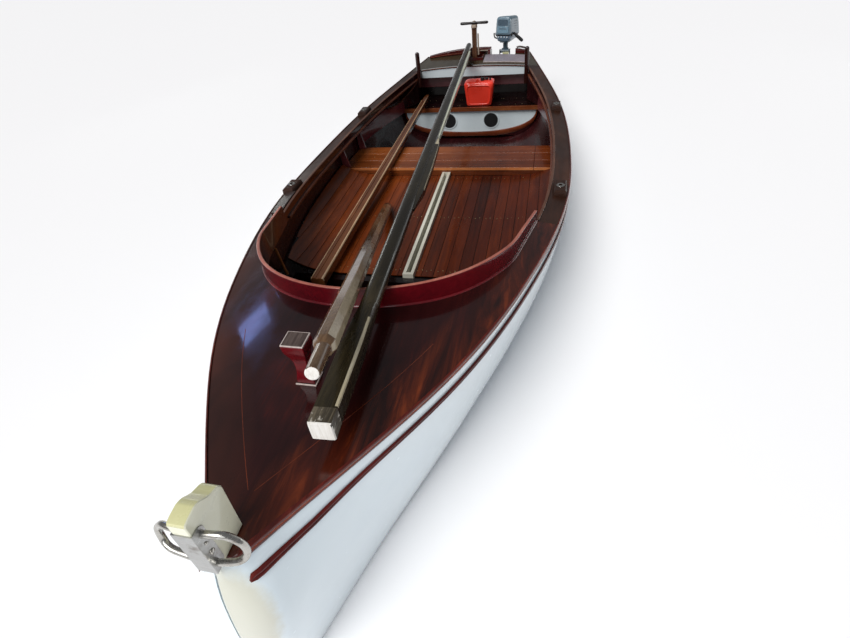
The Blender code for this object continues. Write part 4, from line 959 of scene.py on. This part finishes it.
def make_sole():
    stations = spread([1.780, CROSS[0] - 0.0005], 0.12)
    marks = [CASE_HALF + 0.0008] + [PLANK * k for k in range(1, 13)]
    for sign, side in SIDES:
        planks = []
        for a, b in zip(marks, marks[1:]):
            rings = []
            for s in stations:
                wide = sole_half(s)
                if a > wide - 0.012:
                    continue
                x0 = a + PLANK_GAP
                x1 = min(b - PLANK_GAP, wide)
                ring = []
                for x, drop in ((x0, -0.012), (x0, -0.0012), (x0 + 0.0012, 0.0), (x1 - 0.0012, 0.0), (x1, -0.0012),
                                (x1, -0.012)):
                    rise = sole_rise((x - CASE_HALF) / max(wide - CASE_HALF, 0.01))
                    ring.append((sign * x, s, SOLE_Z + rise + drop))
                rings.append(ring)
            if len(rings) > 1:
                planks.append(rings)
        piece("sole_planks_" + side, "sole", *planks, replaces="sole_" + side, sharp=60)
        rings = []
        for s in stations:
            wide = sole_half(s, 0.0105)
            top = [(sign * (CASE_HALF + 0.001 + (wide - CASE_HALF - 0.001) * part), s, SOLE_Z + sole_rise(part) - 0.004)
                   for part in (0.0, 0.55, 0.76, 0.9, 1.0)]
            rings.append(top + [(x, y, z - 0.013) for x, y, z in reversed(top)])
        piece("sole_seams_" + side, "seam", rings, smooth=False)
        screws = []
        for k in range(1, 10):
            x = PLANK * k - PLANK / 2 if k > 1 else 0.052
            for s in (1.83, 2.42, 2.985):
                part = (x - CASE_HALF) / (sole_half(s) - CASE_HALF)
                if part < 0.95:
                    z = SOLE_Z + sole_rise(part) + 0.0002
                    screws += [screw(sign * (x - 0.012), s, z, 0.0035), screw(sign * (x + 0.014), s + 0.01, z, 0.0035)]
        piece("sole_screws_" + side, "brass", *screws)
    node_look("fore_beam", "seat", 0.003)
    node_look("aft_beam", "inner", 0.003)


def make_case():
    parts = []
    for sign, _ in SIDES:
        rings = []
        for s in (SLOT_FRONT, 2.00, 2.20, 2.50, 2.80, SLOT_AFT):
            low = keel_z(s) + SHELL + 0.0017
            rings.append([(sign * x, s, z) for x, z in
                          ((SLOT_HALF, low), (CASE_HALF, low), (CASE_HALF, 0.2265), (CASE_HALF - 0.001, 0.227),
                           (SLOT_HALF + 0.001, 0.227), (SLOT_HALF, 0.2265))])
        parts.append(rings)
    for s0, s1 in ((SLOT_FRONT, SLOT_FRONT + 0.02), (SLOT_AFT - 0.02, SLOT_AFT)):
        parts.append(block(-SLOT_HALF, SLOT_HALF, s0, s1, keel_z(s0) + SHELL + 0.002, 0.226))
    piece("case_rails", "case", *parts, replaces="centreboard_case", sharp=40)
    node_look("centreboard", "steel", 0.0015)
    strip = block(-CASE_HALF - 0.0075, -CASE_HALF - 0.0005, SLOT_FRONT + 0.025, CROSS[0] - 0.002, SOLE_Z - 0.002, 0.212)
    piece("case_strip", "copper", strip, bevel=0.001)


def make_cross():
    s0, s1, top = CROSS
    low = top - 0.022
    cuts = [-2, -0.515, 0.640, 2]
    planks = []
    for a, b in zip(cuts, cuts[1:]):
        for k in range(3):
            ends = (s0 + (s1 - s0) * k / 3 + (0.0004 if k else 0), s0 + (s1 - s0) * (k + 1) / 3 - 0.0004)
            rings = []
            for s in ends:
                wide = inner_half(s, low) - 0.008
                x0 = max(a + PLANK_GAP, -wide)
                x1 = min(b - PLANK_GAP, wide)
                rings.append([(x0, s, low), (x1, s, low), (x1, s, top), (x0, s, top)])
            planks.append(rings)
    piece("cross_planks", ["cross", "board_edge"], *planks, pick=lambda c: c.y < s0 + 0.001, replaces="cross_board",
          bevel=0.0016)
    screws = [screw(x, s, top + 0.0002) for x in (-0.74, -0.62, -0.50, -0.36, 0.02, 0.10, 0.62, 0.66)
              for s in (s0 + 0.03, s0 + 0.20)]
    piece("cross_screws", "brass", *screws)
    low_line = straight([3.40, 4.29], [0.290, 0.238])
    top_line = straight([3.40, 3.93, 4.08, 4.29], [0.384, 0.392, 0.358, 0.346])
    for sign, side in SIDES:
        rings = []
        for s in spread([s1 + 0.002, SEAT_S - 0.014], 0.06):
            a = low_line(s)
            b = top_line(s)
            mid = (a + b) / 2
            rings.append([(sign * (inner_half(s, z) - d), s, z + h) for z, d, h in
                          ((a, 0.003, 0), (mid, 0.003, 0), (b, 0.003, 0), (b, 0.024, 0.001), (b, 0.030, -0.004),
                           (mid, 0.032, 0), (a, 0.028, 0.004), (a, 0.022, 0))])
        piece("side_board_" + side, ["shelf", "side_light"], rings, sharp=40,
              pick=lambda c: c.y < s1 + 0.004 or c.z > top_line(c.y) - 0.003 and c.y > 4.02)
    rings = [[(x, s0 + d, z) for d, z in ((0.003, SOLE_Z + 0.001), (0.003, low - 0.0004), (0.013, low - 0.0004),
                                          (0.013, SOLE_Z + 0.001))] for x in spread([-0.80, 0.80], 0.1)]
    piece("cross_riser", "cross", rings, smooth=False)
    knees = []
    for sign, _ in SIDES:
        for s in (s0 + 0.02, s1 - 0.016):
            near = inner_half(s, top + 0.002) - 0.004
            high = inner_half(s, KNEE_TOP) - 0.004
            ring = [(sign * near, top + 0.0005), (sign * high, KNEE_TOP), (sign * (high - 0.030), KNEE_TOP),
                    (sign * (near - 0.055), top + 0.018), (sign * (near - 0.060), top + 0.0005)]
            knees.append(slab(ring, s - 0.009, s + 0.009))
    piece("knees", "shelf", *knees, bevel=0.002)
    piece("board_latch", "black", block(0.020, 0.185, s1 + 0.002, s1 + 0.030, 0.236, 0.250),
          block(0.026, 0.048, s1 + 0.030, s1 + 0.050, 0.230, 0.247),
          block(0.150, 0.172, s1 + 0.030, s1 + 0.050, 0.230, 0.247), bevel=0.002)


def make_bulkhead():
    """The panel under the seat, with its white crescent and two screw lids."""
    base = keel_z(SEAT_S) + SHELL + 0.03
    top = SEAT_Z - 0.0164
    heights = [base + (top - base) * (k / 24) ** 1.7 for k in range(1, 25)]
    outline = [(0.0, base)] + [(inner_half(SEAT_S, z) - 0.012, z) for z in heights]
    ring = outline + [(-x, z) for x, z in reversed(outline[1:])]
    piece("seat_panel", "inner", slab(ring, SEAT_S, SEAT_S + 0.012), replaces="seat_bulkhead", sharp=40)
    wide = min(0.612, inner_half(SEAT_S, CRESCENT_Z) - 0.030)
    crescent = []
    for angle in [pi * k / 48 for k in range(49)]:
        crescent.append((wide * copysign(abs(cos(angle)) ** 0.86, cos(angle)), CRESCENT_Z - 0.194 * sin(angle) ** 0.86))
    piece("seat_crescent", "white", slab(crescent, SEAT_S - 0.003, SEAT_S - 0.0002), sharp=40)
    rings = []
    for k, (x, z) in enumerate(crescent):
        t = (Vector(crescent[min(k + 1, 48)]) - Vector(crescent[max(k - 1, 0)])).normalized()
        n = Vector((t.y, -t.x))
        if n.dot(Vector((x, z - 0.30))) < 0:
            n = -n
        width = 0.022 + 0.036 * sin(pi * k / 48)
        ring = []
        for along, out in ((0.0, 0.0), (0.0, -0.009), (0.12, -0.013), (0.45, -0.014), (0.86, -0.008), (1.0, 0.0)):
            px = x + n.x * along * width
            pz = z + n.y * along * width
            limit = inner_half(SEAT_S, max(pz, base + 0.004)) - 0.014
            ring.append((min(max(px, -limit), limit), SEAT_S + out - 0.0002, min(max(pz, base + 0.002), 0.2445)))
        rings.append(ring)
    piece("crescent_rim", "rim", rings, sharp=40)
    front = SEAT_S - 0.003
    for sign, side in SIDES:
        x, z = (sign * 0.20, 0.145)
        bm = bmesh.new()
        for r0, r1, out, mat in ((0.0, 0.066, 0.0085, 0), (0.066, 0.078, 0.006, 1)):
            hub = max(r0, 0.0005)
            profile = [(hub, 0.0), (r1, 0.0), (r1, out * 0.7), (r1 - 0.002, out), (r0 + 0.0015, out), (hub, out * 0.8)]
            add_loft(bm, [[(x + r * c, front - d, z + r * e) for r, d in profile] for c, e in around(40)], True, mat)
        for k in range(6):
            turn = Matrix.Translation((x, 0, z)) @ Matrix.Rotation(pi * k / 3, 4, "Y")
            corners = ((0.022, -0.003), (0.058, -0.003), (0.058, 0.003), (0.022, 0.003))
            rib = [turn @ Vector((a, 0, b)) for a, b in corners]
            add_loft(bm, slab([(p.x, p.z) for p in rib], front - 0.0084, front - 0.0098))
        finish_mesh("seat_cover_" + side, bm, ["black", "white"], replaces="inspection_cover_" + side, sharp=40)


def make_seat():
    node_look("aft_seat", "seat", 0.002)
    node_look("seat_rail", "light_wood", 0.004, 3)
    node_look("seat_back", "back", 0.002)
    node_look("stern_beam", "white", 0.0015)
    rings = []
    for x in spread([-0.498, 0.498], 0.1):
        top = deck_z(x, AFT_DECK_S) - DECK - 0.0008
        rings.append([(x, 4.5985, 0.452), (x, 4.6016, 0.451), (x, 4.6016, top), (x, 4.5985, top)])
    piece("beam_face", "white", rings, sharp=40)
    # A dark board on the lower seat back: painted shade where the back meets the seat.
    foot = ((4.7035, SEAT_Z + 0.0006), (4.6774, 0.344), (4.6735, 0.343), (4.6990, SEAT_Z + 0.0006))
    piece("seat_back_painted_shade", "seat", [[(x, s, z) for s, z in foot] for x in spread([-0.524, 0.524], 0.1)], sharp=40)
    trim = ((-0.004, -DECK), (-0.006, -0.002), (-0.001, 0.004), (0.012, 0.004), (0.012, 0.0002), (-0.0006, 0.0002),
            (-0.0006, -DECK))
    line = ((-0.0066, -0.0075), (-0.0086, -0.0065), (-0.0086, -0.0035), (-0.0066, -0.0025))
    for name, mat, half, profile in (("deck_trim", "seat", 0.500, trim), ("deck_trim_line", "rim", 0.492, line)):
        rings = [[(x, AFT_DECK_S + d, deck_z(x, AFT_DECK_S) + h) for d, h in profile]
                 for x in spread([-half, half], 0.1)]
        piece(name, mat, rings, sharp=40)
    screws = [screw(x, s, SEAT_Z + 0.0003) for x in (-0.42, -0.36, -0.12, -0.10, 0.28, 0.30, 0.42, 0.48)
              for s in (4.36, 4.52)]
    piece("seat_screws", "brass", *screws)

    def batten_top(s):
        return 0.356 + 0.106 * (s - SEAT_S + 0.012) / 0.196

    for sign, side in SIDES:
        rings = turned((sign * 0.504, 4.5, 0.400), (sign * 0.502, 4.5, 0.705),
                       [(0, 0.019), (0.02, 0.020), (0.90, 0.020), (0.93, 0.0205), (0.965, 0.019), (0.99, 0.013),
                        (1, 0.005)], 24)
        piece("post_" + side, "post", rings, replaces="stern_post_" + side, sharp=50)
        rings = []
        for part in [k / 6 for k in range(7)]:
            s = SEAT_S - 0.012 + 0.196 * part
            x = (inner_half(s, 0.30) - 0.016) * (1 - part) + 0.524 * part
            top = 0.356 + 0.106 * part
            rings.append([(sign * (x + d), s, z) for d, z in
                          ((-0.007, SEAT_Z + 0.0062), (-0.007, top - 0.002), (-0.005, top), (0.005, top),
                           (0.007, top - 0.002), (0.007, SEAT_Z + 0.0062))])
        # The starboard arm's top and front take the lighter wood and the port arm's the dark post wood: painted light
        # and shade on a mirrored pair.
        piece("seat_side_" + side, ["inner", "side_light" if sign < 0 else "post"], rings, sharp=40,
              pick=lambda c: c.z > batten_top(c.y) - 0.004 or c.y < SEAT_S - 0.011, replaces="seat_arm_" + side)


def stern_base(x):
    return max(deck_z(x, s) for s in (STERN_FRONT, STERN_AFT)) + 0.0012


def stern_top(x, base):
    return max(base + 0.012, 0.545 + 0.066 * (1 - ((x - 0.02) / 0.56) ** 2))


def make_stern():
    for name, x0, x1 in (("stern_rail", -0.480, NOTCH[0] - GAP), ("stern_block", NOTCH[1] + GAP, 0.490)):
        rings = []
        for x in [x0 + (x1 - x0) * k / 24 for k in range(25)]:
            base = stern_base(x)
            top = stern_top(x, base)
            rings.append([(x, STERN_FRONT, base), (x, STERN_AFT, base), (x, STERN_AFT, top - 0.003), (x, 4.9715, top),
                          (x, 4.933, top), (x, STERN_FRONT, top - 0.003)])
        piece(name + "_piece", "stern", rings, replaces=name, sharp=40)
    for node, mat, bevel in (("transom", "side", 0.003), ("rudder_trunk", "stern", 0.002),
                             ("rudder_blade", "side", 0.004), ("rudder_stock", "steel", 0),
                             ("tiller_post", "tiller", 0.003)):
        node_look(node, mat, bevel)
    grip = [(0, 0.003), (0.01, 0.008), (0.04, 0.0118), (0.12, 0.0125), (0.35, 0.0108), (0.42, 0.0115), (0.47, 0.0142),
            (0.53, 0.0142), (0.58, 0.0115), (0.65, 0.0108), (0.88, 0.0125), (0.96, 0.0118), (0.99, 0.008), (1, 0.003)]
    piece("tiller_handle", "seat", turned((-0.130, RUDDER_S, 0.857), (0.130, RUDDER_S, 0.857), grip, 20),
          body="rudder", replaces="tiller_bar", sharp=60)
    for name, x0, z0, x1, z1, radii, count in (
            ("tiller_hub", 0, 0.8705, 0, 0.876, [(0, 0.012), (0.6, 0.011), (1, 0.006)], 20),
            ("tiller_collar", 0, 0.8205, 0, 0.846, [(0, 0.0275), (0.2, 0.029), (0.8, 0.027), (1, 0.020)], 24),
            ("tiller_rod", 0.0345, 0.590, 0.0335, 0.772, [(0, 0.005), (0.01, 0.0075), (0.97, 0.0070), (1, 0.003)], 16)):
        rings = turned((x0, RUDDER_S, z0), (x1, RUDDER_S, z1), radii, count)
        piece(name, "tiller_pale", rings, body="rudder", sharp=50)
    base = deck_z(0.1, STERN_FRONT) + 0.001
    piece("stern_shelf", "tiller_pale", block(0.034, 0.1355, 4.900, 4.9296, 0.590, 0.594),
          block(0.104, 0.111, 4.912, 4.9190, base, 0.586), bevel=0.001)
    piece("stern_cheek", "stern", block(0.1125, NOTCH[0] - 0.001, 4.872, 4.9295, base, 0.604),
          block(0.088, 0.1035, 4.916, 4.9295, base, 0.560),
          block(0.088, 0.1120, 4.902, 4.9295, 0.5862, 0.5898), bevel=0.002)
    rings = []
    for x in spread([0.0915, 0.480], 0.07):
        rings.append([(x, s, deck_z(x, at) + h) for s, at, h in
                      ((4.655, 4.70, 0.0006), (4.655, 4.70, 0.009), (4.658, 4.70, 0.0105), (4.868, 4.868, 0.0105),
                       (4.868, 4.868, 0.0006))])
    piece("motor_board", ["lilac", "pale_rim"], rings, pick=lambda c: c.y < 4.6562, sharp=40, bevel=0.0008)
    bend = [(x, 4.951, z) for x, z in ((0.384, 0.5935), (0.40, 0.5985), (0.43, 0.5965), (0.478, 0.5830))]
    path = smooth_path(bend, 14)
    piece("stern_tube", "dark_top", tube(path, 0.0085, 14), sharp=50)
    rings = []
    for x in spread([-0.474, -0.09], 0.04):
        z = deck_z(x, STERN_FRONT) + 0.0012
        z += 0.34 * (stern_top(x, z) - z)
        rings.append([(x, 4.9296, z - 0.003), (x, 4.9266, z - 0.002), (x, 4.9266, z + 0.002), (x, 4.9296, z + 0.003)])
    piece("stern_rail_line", "rim", rings, sharp=40)


def make_oarlocks():
    profile = [(0.0095, 0.0), (0.0095, 0.0032), (0.0115, 0.0040), (0.021, 0.0030), (0.0225, 0.0015), (0.0225, 0.0)]
    for row, s in ((1, 2.190), (2, 3.588)):
        for sign, side in SIDES:
            x = rail_half(s) - 0.052
            z = max(deck_z(x - 0.045, s + d) for d in (-0.07, 0.07)) + 0.001
            node_look("oarlock_pad_%d_%s" % (row, side), "side", 0.002)
            bm = bmesh.new()
            rings = [[(sign * x + r * c, s + r * e, z + OARLOCK_PAD + h) for r, h in profile] for c, e in around(32)]
            add_loft(bm, rings, close=True)
            for c, e in around(3, 0.25):
                add_loft(bm, screw(sign * x + 0.0165 * c, s + 0.0165 * e, z + OARLOCK_PAD + 0.0032, 0.0028))
            finish_mesh("oarlock_plate_%d_%s" % (row, side), bm, "steel", sharp=40)


def spar_frame(ends):
    a = Vector(ends[0])
    b = Vector(ends[1])
    axis = (b - a).normalized()
    side = axis.cross(Vector((0, 0, 1))).normalized()
    return a, b, side, side.cross(axis)


def corner(c, d, square):
    """How much a circle's point moves out as the circle turns square."""
    return 1 + square * (min(1 / max(abs(c), abs(d)), 1.38) - 1)


def make_mast():
    a, b, side, up = spar_frame(MAST)
    r = MAST_RADIUS
    table = [(0, 0.032, 1), (0.0012, 0.034, 1), (0.012, 0.034, 1), (0.014, r, 1), (0.065, r, 1), (0.080, r, 0.75),
             (0.095, r, 0.4), (0.112, r, 0.0), (0.1125, 0.0343, 0.0), (0.1145, 0.0343, 0.0), (0.115, r, 0.0),
             (0.166, r, 0), (0.1665, 0.0342, 0), (0.1680, 0.0342, 0), (0.1685, r, 0), (0.5, 0.033, 0),
             (0.85, 0.0296, 0), (0.988, 0.0272, 0), (0.994, 0.024, 0), (0.998, 0.016, 0), (1, 0.006, 0)]
    rings = [[a.lerp(b, t) + radius * corner(c, d, square) * (c * side + d * up) for c, d in around(32)]
             for t, radius, square in table]
    butt, worn = a.lerp(b, 0.0012).y, a.lerp(b, 0.0125).y
    piece("mast_spar", ["mast", "mast_worn", "butt"], rings, replaces="mast", sharp=24,
          pick=lambda c: 2 if c.y < butt else c.y < worn)
    squareness = straight([0.065, 0.080, 0.095], [1.0, 0.75, 0.4])
    rings = []
    for t in (0.0132, 0.03, 0.05, 0.065, 0.080, 0.094):
        ring = []
        for angle, lift in ((37, 1.0), (40, 1.010), (45, 1.014), (50, 1.010), (53, 1.0), (45, 0.94)):
            c = cos(radians(angle))
            d = sin(radians(angle))
            ring.append(a.lerp(b, t) + lift * r * corner(c, d, squareness(max(t, 0.065))) * (c * side + d * up))
        rings.append(ring)
    piece("mast_corner", "mast_line", rings, sharp=50)
    outline = [(1, -0.6), (1, 0.6), (0.8, 1), (-1, 1), (-1.4, 0.6), (-1.4, -0.6), (-1, -1), (0.8, -1)]
    rings = []
    for t, wide, high in ((0.262, 0.003, 0.008), (0.300, 0.015, 0.017), (0.36, 0.016, 0.018), (0.425, 0.012, 0.016),
                          (0.447, 0.004, 0.010)):
        centre = a.lerp(b, t) + side * (0.0335 * (1 - 0.12 * t) + wide * 0.72) + up * 0.002
        rings.append([centre + side * (wide * u) + up * (high * v) for u, v in outline])
    tip = a.lerp(b, 0.424).y

    def batten_mat(c):
        d = c - a.lerp(b, (c - a).length / (b - a).length)
        return c.y > tip or d.dot(side) > 0.052 and d.dot(up) > 0.012

    piece("mast_batten", ["mast", "mast_line"], rings, pick=batten_mat, sharp=30, bevel=0.0012)
    outline = [(1, -0.7), (1, 0.5), (0.6, 1), (-1, 1), (-1.3, 0.6), (-1.3, -0.6), (-1, -1), (0.6, -1)]
    rings = []
    for t, wide, high in ((0.452, 0.003, 0.010), (0.460, 0.006, 0.013), (0.60, 0.0075, 0.014), (0.75, 0.0095, 0.014),
                          (0.90, 0.0100, 0.014), (0.928, 0.0085, 0.013), (0.936, 0.004, 0.008)):
        centre = a.lerp(b, t) + side * (MAST_RADIUS - 0.0066 * t + wide * 0.66) + up * 0.002
        rings.append([centre + side * (wide * u) + up * (high * v) for u, v in outline])
    piece("mast_strip", "strip_cream", rings, sharp=30, bevel=0.0008)


def make_spars():
    a, b, side, _ = spar_frame(YARD)
    neck = turned(a, b, [(0, 0.0170), (0.001, 0.0185), (0.02, 0.0200), (0.055, 0.0215)], 32)
    body = turned(a, b, [(0.053, 0.020), (0.055, 0.0245), (0.059, 0.030), (0.064, 0.0325), (0.0655, 0.0335),
                         (0.080, 0.034), (0.50, 0.034), (0.95, 0.034), (0.972, 0.032), (0.988, 0.026), (0.996, 0.018),
                         (1, 0.010)], 8, 0.5)
    butt, tip = a.lerp(b, 0.0012).y, a.lerp(b, 0.955).y
    # Faces on the port side of the spar take the painted highlight; the tip takes the darker post wood.
    piece("octagonal_spar_piece", ["yard", "butt", "yard_worn", "post"], neck, body, replaces="octagonal_spar",
          sharp=30, bevel=0.0016,
          pick=lambda c: 1 if c.y < butt else 3 if c.y > tip else 2 if (c - a).dot(side) > 0.022 else 0)
    outline = [(1, -0.5), (1, 0.45), (0.93, 0.78), (0.84, 0.96), (0.70, 1), (0.2, 1), (0.16, 0.86), (-0.16, 0.86),
               (-0.2, 1), (-0.70, 1), (-0.84, 0.96), (-0.93, 0.78), (-1, 0.45), (-1, -0.5), (-0.6, -1), (0.6, -1)]
    start, end = Vector(BOOM[0]), Vector(BOOM[1])
    rings = [[start.lerp(end, t) + Vector((w * u, 0, h * v)) for u, v in outline]
             for t, w, h in ((0, 0.040, 0.032), (0.002, 0.042, 0.034), (0.5, 0.036, 0.028), (0.94, 0.0235, 0.0245),
                             (0.98, 0.018, 0.020), (1, 0.010, 0.012))]

    def boom_mat(c):
        (x0, s0, z0), (x1, s1, z1) = BOOM
        part = (c.y - s0) / (s1 - s0)
        across = (c.x - (x0 + (x1 - x0) * part)) / (0.042 - 0.018 * part)
        return 0.68 < abs(across) < 0.97 and c.z - (z0 + (z1 - z0) * part) > 0.016

    piece("long_spar_piece", ["boom", "boom_edge"], rings, pick=boom_mat, replaces="long_spar", sharp=28, bevel=0.0008)
    stick = [Vector(p) for p in ((-0.695, 1.640, 0.452), (-0.694, 1.648, 0.38), (-0.692, 1.656, 0.30),
                                 (-0.690, 1.662, 0.262))]
    piece("rib_stick", "stick", tube(stick, 0.0085, 12), sharp=50)


def make_can():
    x, s, d = 0.085, 4.405, 0.075
    bm = bmesh.new()
    add_loft(bm, [[(x + half * c, s + d * deep * e, z) for c, e in squared(48, 0.30)] for z, half, deep in
                  ((0.2628, 0.106, 0.92), (0.268, 0.114, 0.98), (0.280, 0.118, 1.0), (0.36, 0.127, 1.0),
                   (0.430, 0.1355, 1.0), (0.448, 0.1365, 0.99), (0.460, 0.131, 0.94), (0.467, 0.116, 0.84),
                   (0.469, 0.080, 0.5))])
    front = s - d
    path = []
    for c, e in squared(48, 0.3):
        z = 0.360 + 0.082 * e
        path.append(Vector((x + (0.104 + 0.10 * (z - 0.36)) * c, front + 0.003, z)))
    rings = []
    for p, tangent in zip(path, tangents(path, loop=True)):
        out = tangent.cross(Vector((0, 1, 0))).normalized()
        rings.append([p + out * u + Vector((0, v, 0)) for u, v in
                      ((-0.010, 0.002), (-0.006, -0.0045), (0.0, -0.0055), (0.006, -0.0045), (0.010, 0.002))])
    add_loft(bm, rings, close=True)
    finish_mesh("can_body", bm, "red", replaces="fuel_can", sharp=60)
    tab = [(x - 0.036, 0.464), (x + 0.012, 0.464), (x + 0.004, 0.480), (x - 0.008, 0.498), (x - 0.018, 0.498),
           (x - 0.028, 0.480)]
    piece("can_tab", "red", slab(tab, front + 0.012, front + 0.026), bevel=0.003, segments=3)
    caps = []
    for px, ps, r, top in ((x + 0.030, s - 0.010, 0.019, 0.494), (x + 0.068, s + 0.004, 0.015, 0.488),
                           (x + 0.098, s + 0.002, 0.010, 0.482)):
        rings = []
        for z, grow in ((0.466, 0.9), (0.474, 1.0), (top - 0.004, 1.0), (top, 0.9), (top + 0.001, 0.3)):
            ring = []
            for k, (c, e) in enumerate(around(24)):
                flute = grow * r * (1.0 if k % 2 or z in (0.466, top + 0.001) else 0.93)
                ring.append((px + flute * c, ps + flute * e, z))
            rings.append(ring)
        caps.append(rings)
    caps.append(block(x + 0.030, x + 0.068, s - 0.006, s + 0.002, 0.472, 0.481))
    piece("can_caps", "black", *caps, bevel=0.0008)


CENTRE = Vector((MOTOR_X, MOTOR_S, 0))
STEERED = Matrix.Translation(CENTRE) @ Matrix.Rotation(radians(MOTOR_TURN), 4, "Z") @ Matrix.Translation(-CENTRE)


def at_motor(x, s, z):
    """A point given from the steering axis, turned with the motor."""
    return STEERED @ Vector((MOTOR_X + x, MOTOR_S + s, z))


def motor_rings(table, power, count=48):
    """Rounded rings from (z, front, back, half width, slope) rows; slope lowers the top aft."""
    rings = []
    for z, s0, s1, half, slope in table:
        ring = [STEERED @ Vector((MOTOR_X + half * c, MOTOR_S + (s0 + s1) / 2 + (s1 - s0) / 2 * e, z))
                for c, e in squared(count, power)]
        rings.append([Vector((p[0], p[1], p[2] - slope * max(0.0, p[1] - (MOTOR_S - 0.06)))) for p in ring])
    return rings


def make_motor():
    cowl = [(z, s0, s1, half, 0.16) for z, s0, s1, half in
            ((0.6890, -0.070, 0.172, 0.0740), (0.6905, -0.0745, 0.177, 0.0790), (0.6985, -0.0765, 0.179, 0.0810),
             (0.7005, -0.0755, 0.178, 0.0800), (0.74, -0.0740, 0.176, 0.0785), (0.78, -0.0715, 0.172, 0.0765),
             (0.812, -0.068, 0.166, 0.0735), (0.829, -0.063, 0.158, 0.0690), (0.838, -0.055, 0.148, 0.0620),
             (0.8425, -0.044, 0.134, 0.0500), (0.844, -0.02, 0.10, 0.030))]
    piece("cowl_shell", "cowl", motor_rings(cowl, 0.24, 64), body="motor", replaces="outboard_cowl", sharp=50)
    bm = bmesh.new()
    for z0, z1, wide, out, mat in ((0.7045, 0.7600, 0.056, 0.0022, 0), (0.7660, 0.8180, 0.052, 0.0015, 1)):
        rings = []
        for grow, lift in ((1.0, -0.004), (1.0, out * 0.6), (0.96, out), (0.90, out), (0.86, out * 0.4),
                           (0.02, out * 0.4)):
            ring = []
            for c, e in squared(32, 0.3):
                z = (z0 + z1) / 2 + (z1 - z0) / 2 * grow * e
                lean = 0.0765 - 0.0055 * (z - 0.70) / 0.11
                ring.append(STEERED @ Vector((MOTOR_X + wide * grow * c, MOTOR_S - lean + 0.0015 - lift, z)))
            rings.append(ring)
        add_loft(bm, rings, mat=mat)
    finish_mesh("cowl_front", bm, ["cowl_pale", "pan"], body="motor", sharp=40)
    vents = []
    for z in (0.724, 0.745, 0.766, 0.787):
        ring = [(0.030, z - 0.0035), (0.118, z - 0.0035 - 0.010), (0.118, z - 0.010), (0.030, z)]
        vents.append([[at_motor(d, u, v) for u, v in ring] for d in (0.0755, 0.0800 - 0.02 * (z - 0.724))])
    piece("cowl_vents", "pan", *vents, body="motor", bevel=0.0008)
    pan = ((0.622, -0.040, 0.110, 0.040, 0.0), (0.626, -0.058, 0.130, 0.056, 0.04), (0.636, -0.068, 0.146, 0.068, 0.08),
           (0.660, -0.0715, 0.160, 0.0745, 0.12), (0.6865, -0.0735, 0.168, 0.0775, 0.16))
    piece("motor_pan", "pan_pale", motor_rings(pan, 0.34), body="motor", sharp=50)
    gasket = [(z, -0.0755, 0.175, 0.0790, 0.16) for z in (0.6815, 0.6888)]
    piece("cowl_gasket", "black", motor_rings(gasket, 0.26, 64), body="motor", sharp=50)
    head = [(0, 0.0062), (0.7, 0.0062), (1, 0.0042)]
    fasteners = [turned(at_motor(x, -0.0700, 0.668), at_motor(x, -0.0765, 0.669), head, 14)
                 for x in (-0.044, -0.016, 0.016, 0.044)]
    piece("pan_fasteners", "glass", *fasteners, body="motor", sharp=50)
    for node, mat, bevel in (("outboard_leg", "pan", 0.001), ("outboard_clamp", "black", 0.001),
                             ("outboard_swivel", "leg", 0.001), ("propeller", "leg", 0.0006)):
        node_look(node, mat, bevel)
    latches = []
    for x in (-0.080, 0.080):
        latches += [turned(at_motor(x * 0.92, -0.040, 0.691), at_motor(x * 1.13, -0.040, 0.688),
                           [(0, 0.011), (0.75, 0.0115), (1, 0.007)], 16),
                    turned(at_motor(x * 1.03, -0.040, 0.668), at_motor(x * 1.03, -0.040, 0.700),
                           [(0, 0.004), (0.5, 0.006), (1, 0.004)], 12)]
    piece("cowl_latches", "black", *latches, body="motor", sharp=50)
    path = smooth_path([(0.150, 5.112, 0.694), (0.150, 5.112, 0.676), (0.154, 5.113, 0.660), (0.165, 5.116, 0.649),
                        (0.184, 5.120, 0.645), (0.208, 5.125, 0.648)], 24)
    piece("shift_lever", "black", tube(path, 0.0062, 12), body="motor", sharp=60)
    start = Vector((0.343, 5.080, 0.692))
    end = Vector((0.428, 5.112, 0.612))
    rings = []
    for k in range(41):
        t = k / 40
        radius = 0.008 if t > 0.96 else 0.0110 if t < 0.22 else 0.0155 if k % 3 else 0.0135
        p = start.lerp(end, t)
        rings += turned(p, p + (end - start) * 0.001, [(0, radius)], 16)
    rings += turned(end, end + (end - start) * 0.02, [(0, 0.011), (1, 0.006)], 16)
    piece("motor_handle", "black", rings, body="motor", replaces="outboard_handle", sharp=40)
    piece("clamp_plate", "plate", block(0.246, 0.306, 4.9632, 4.9695, 0.515, 0.556), bevel=0.0012)


for make in (make_camera, make_floor, make_light, make_hull, make_rails, make_coaming, make_decks, make_bow,
             make_bitt, make_sole, make_case, make_cross, make_bulkhead, make_seat, make_stern, make_oarlocks,
             make_mast, make_spars, make_can, make_motor):
    make()
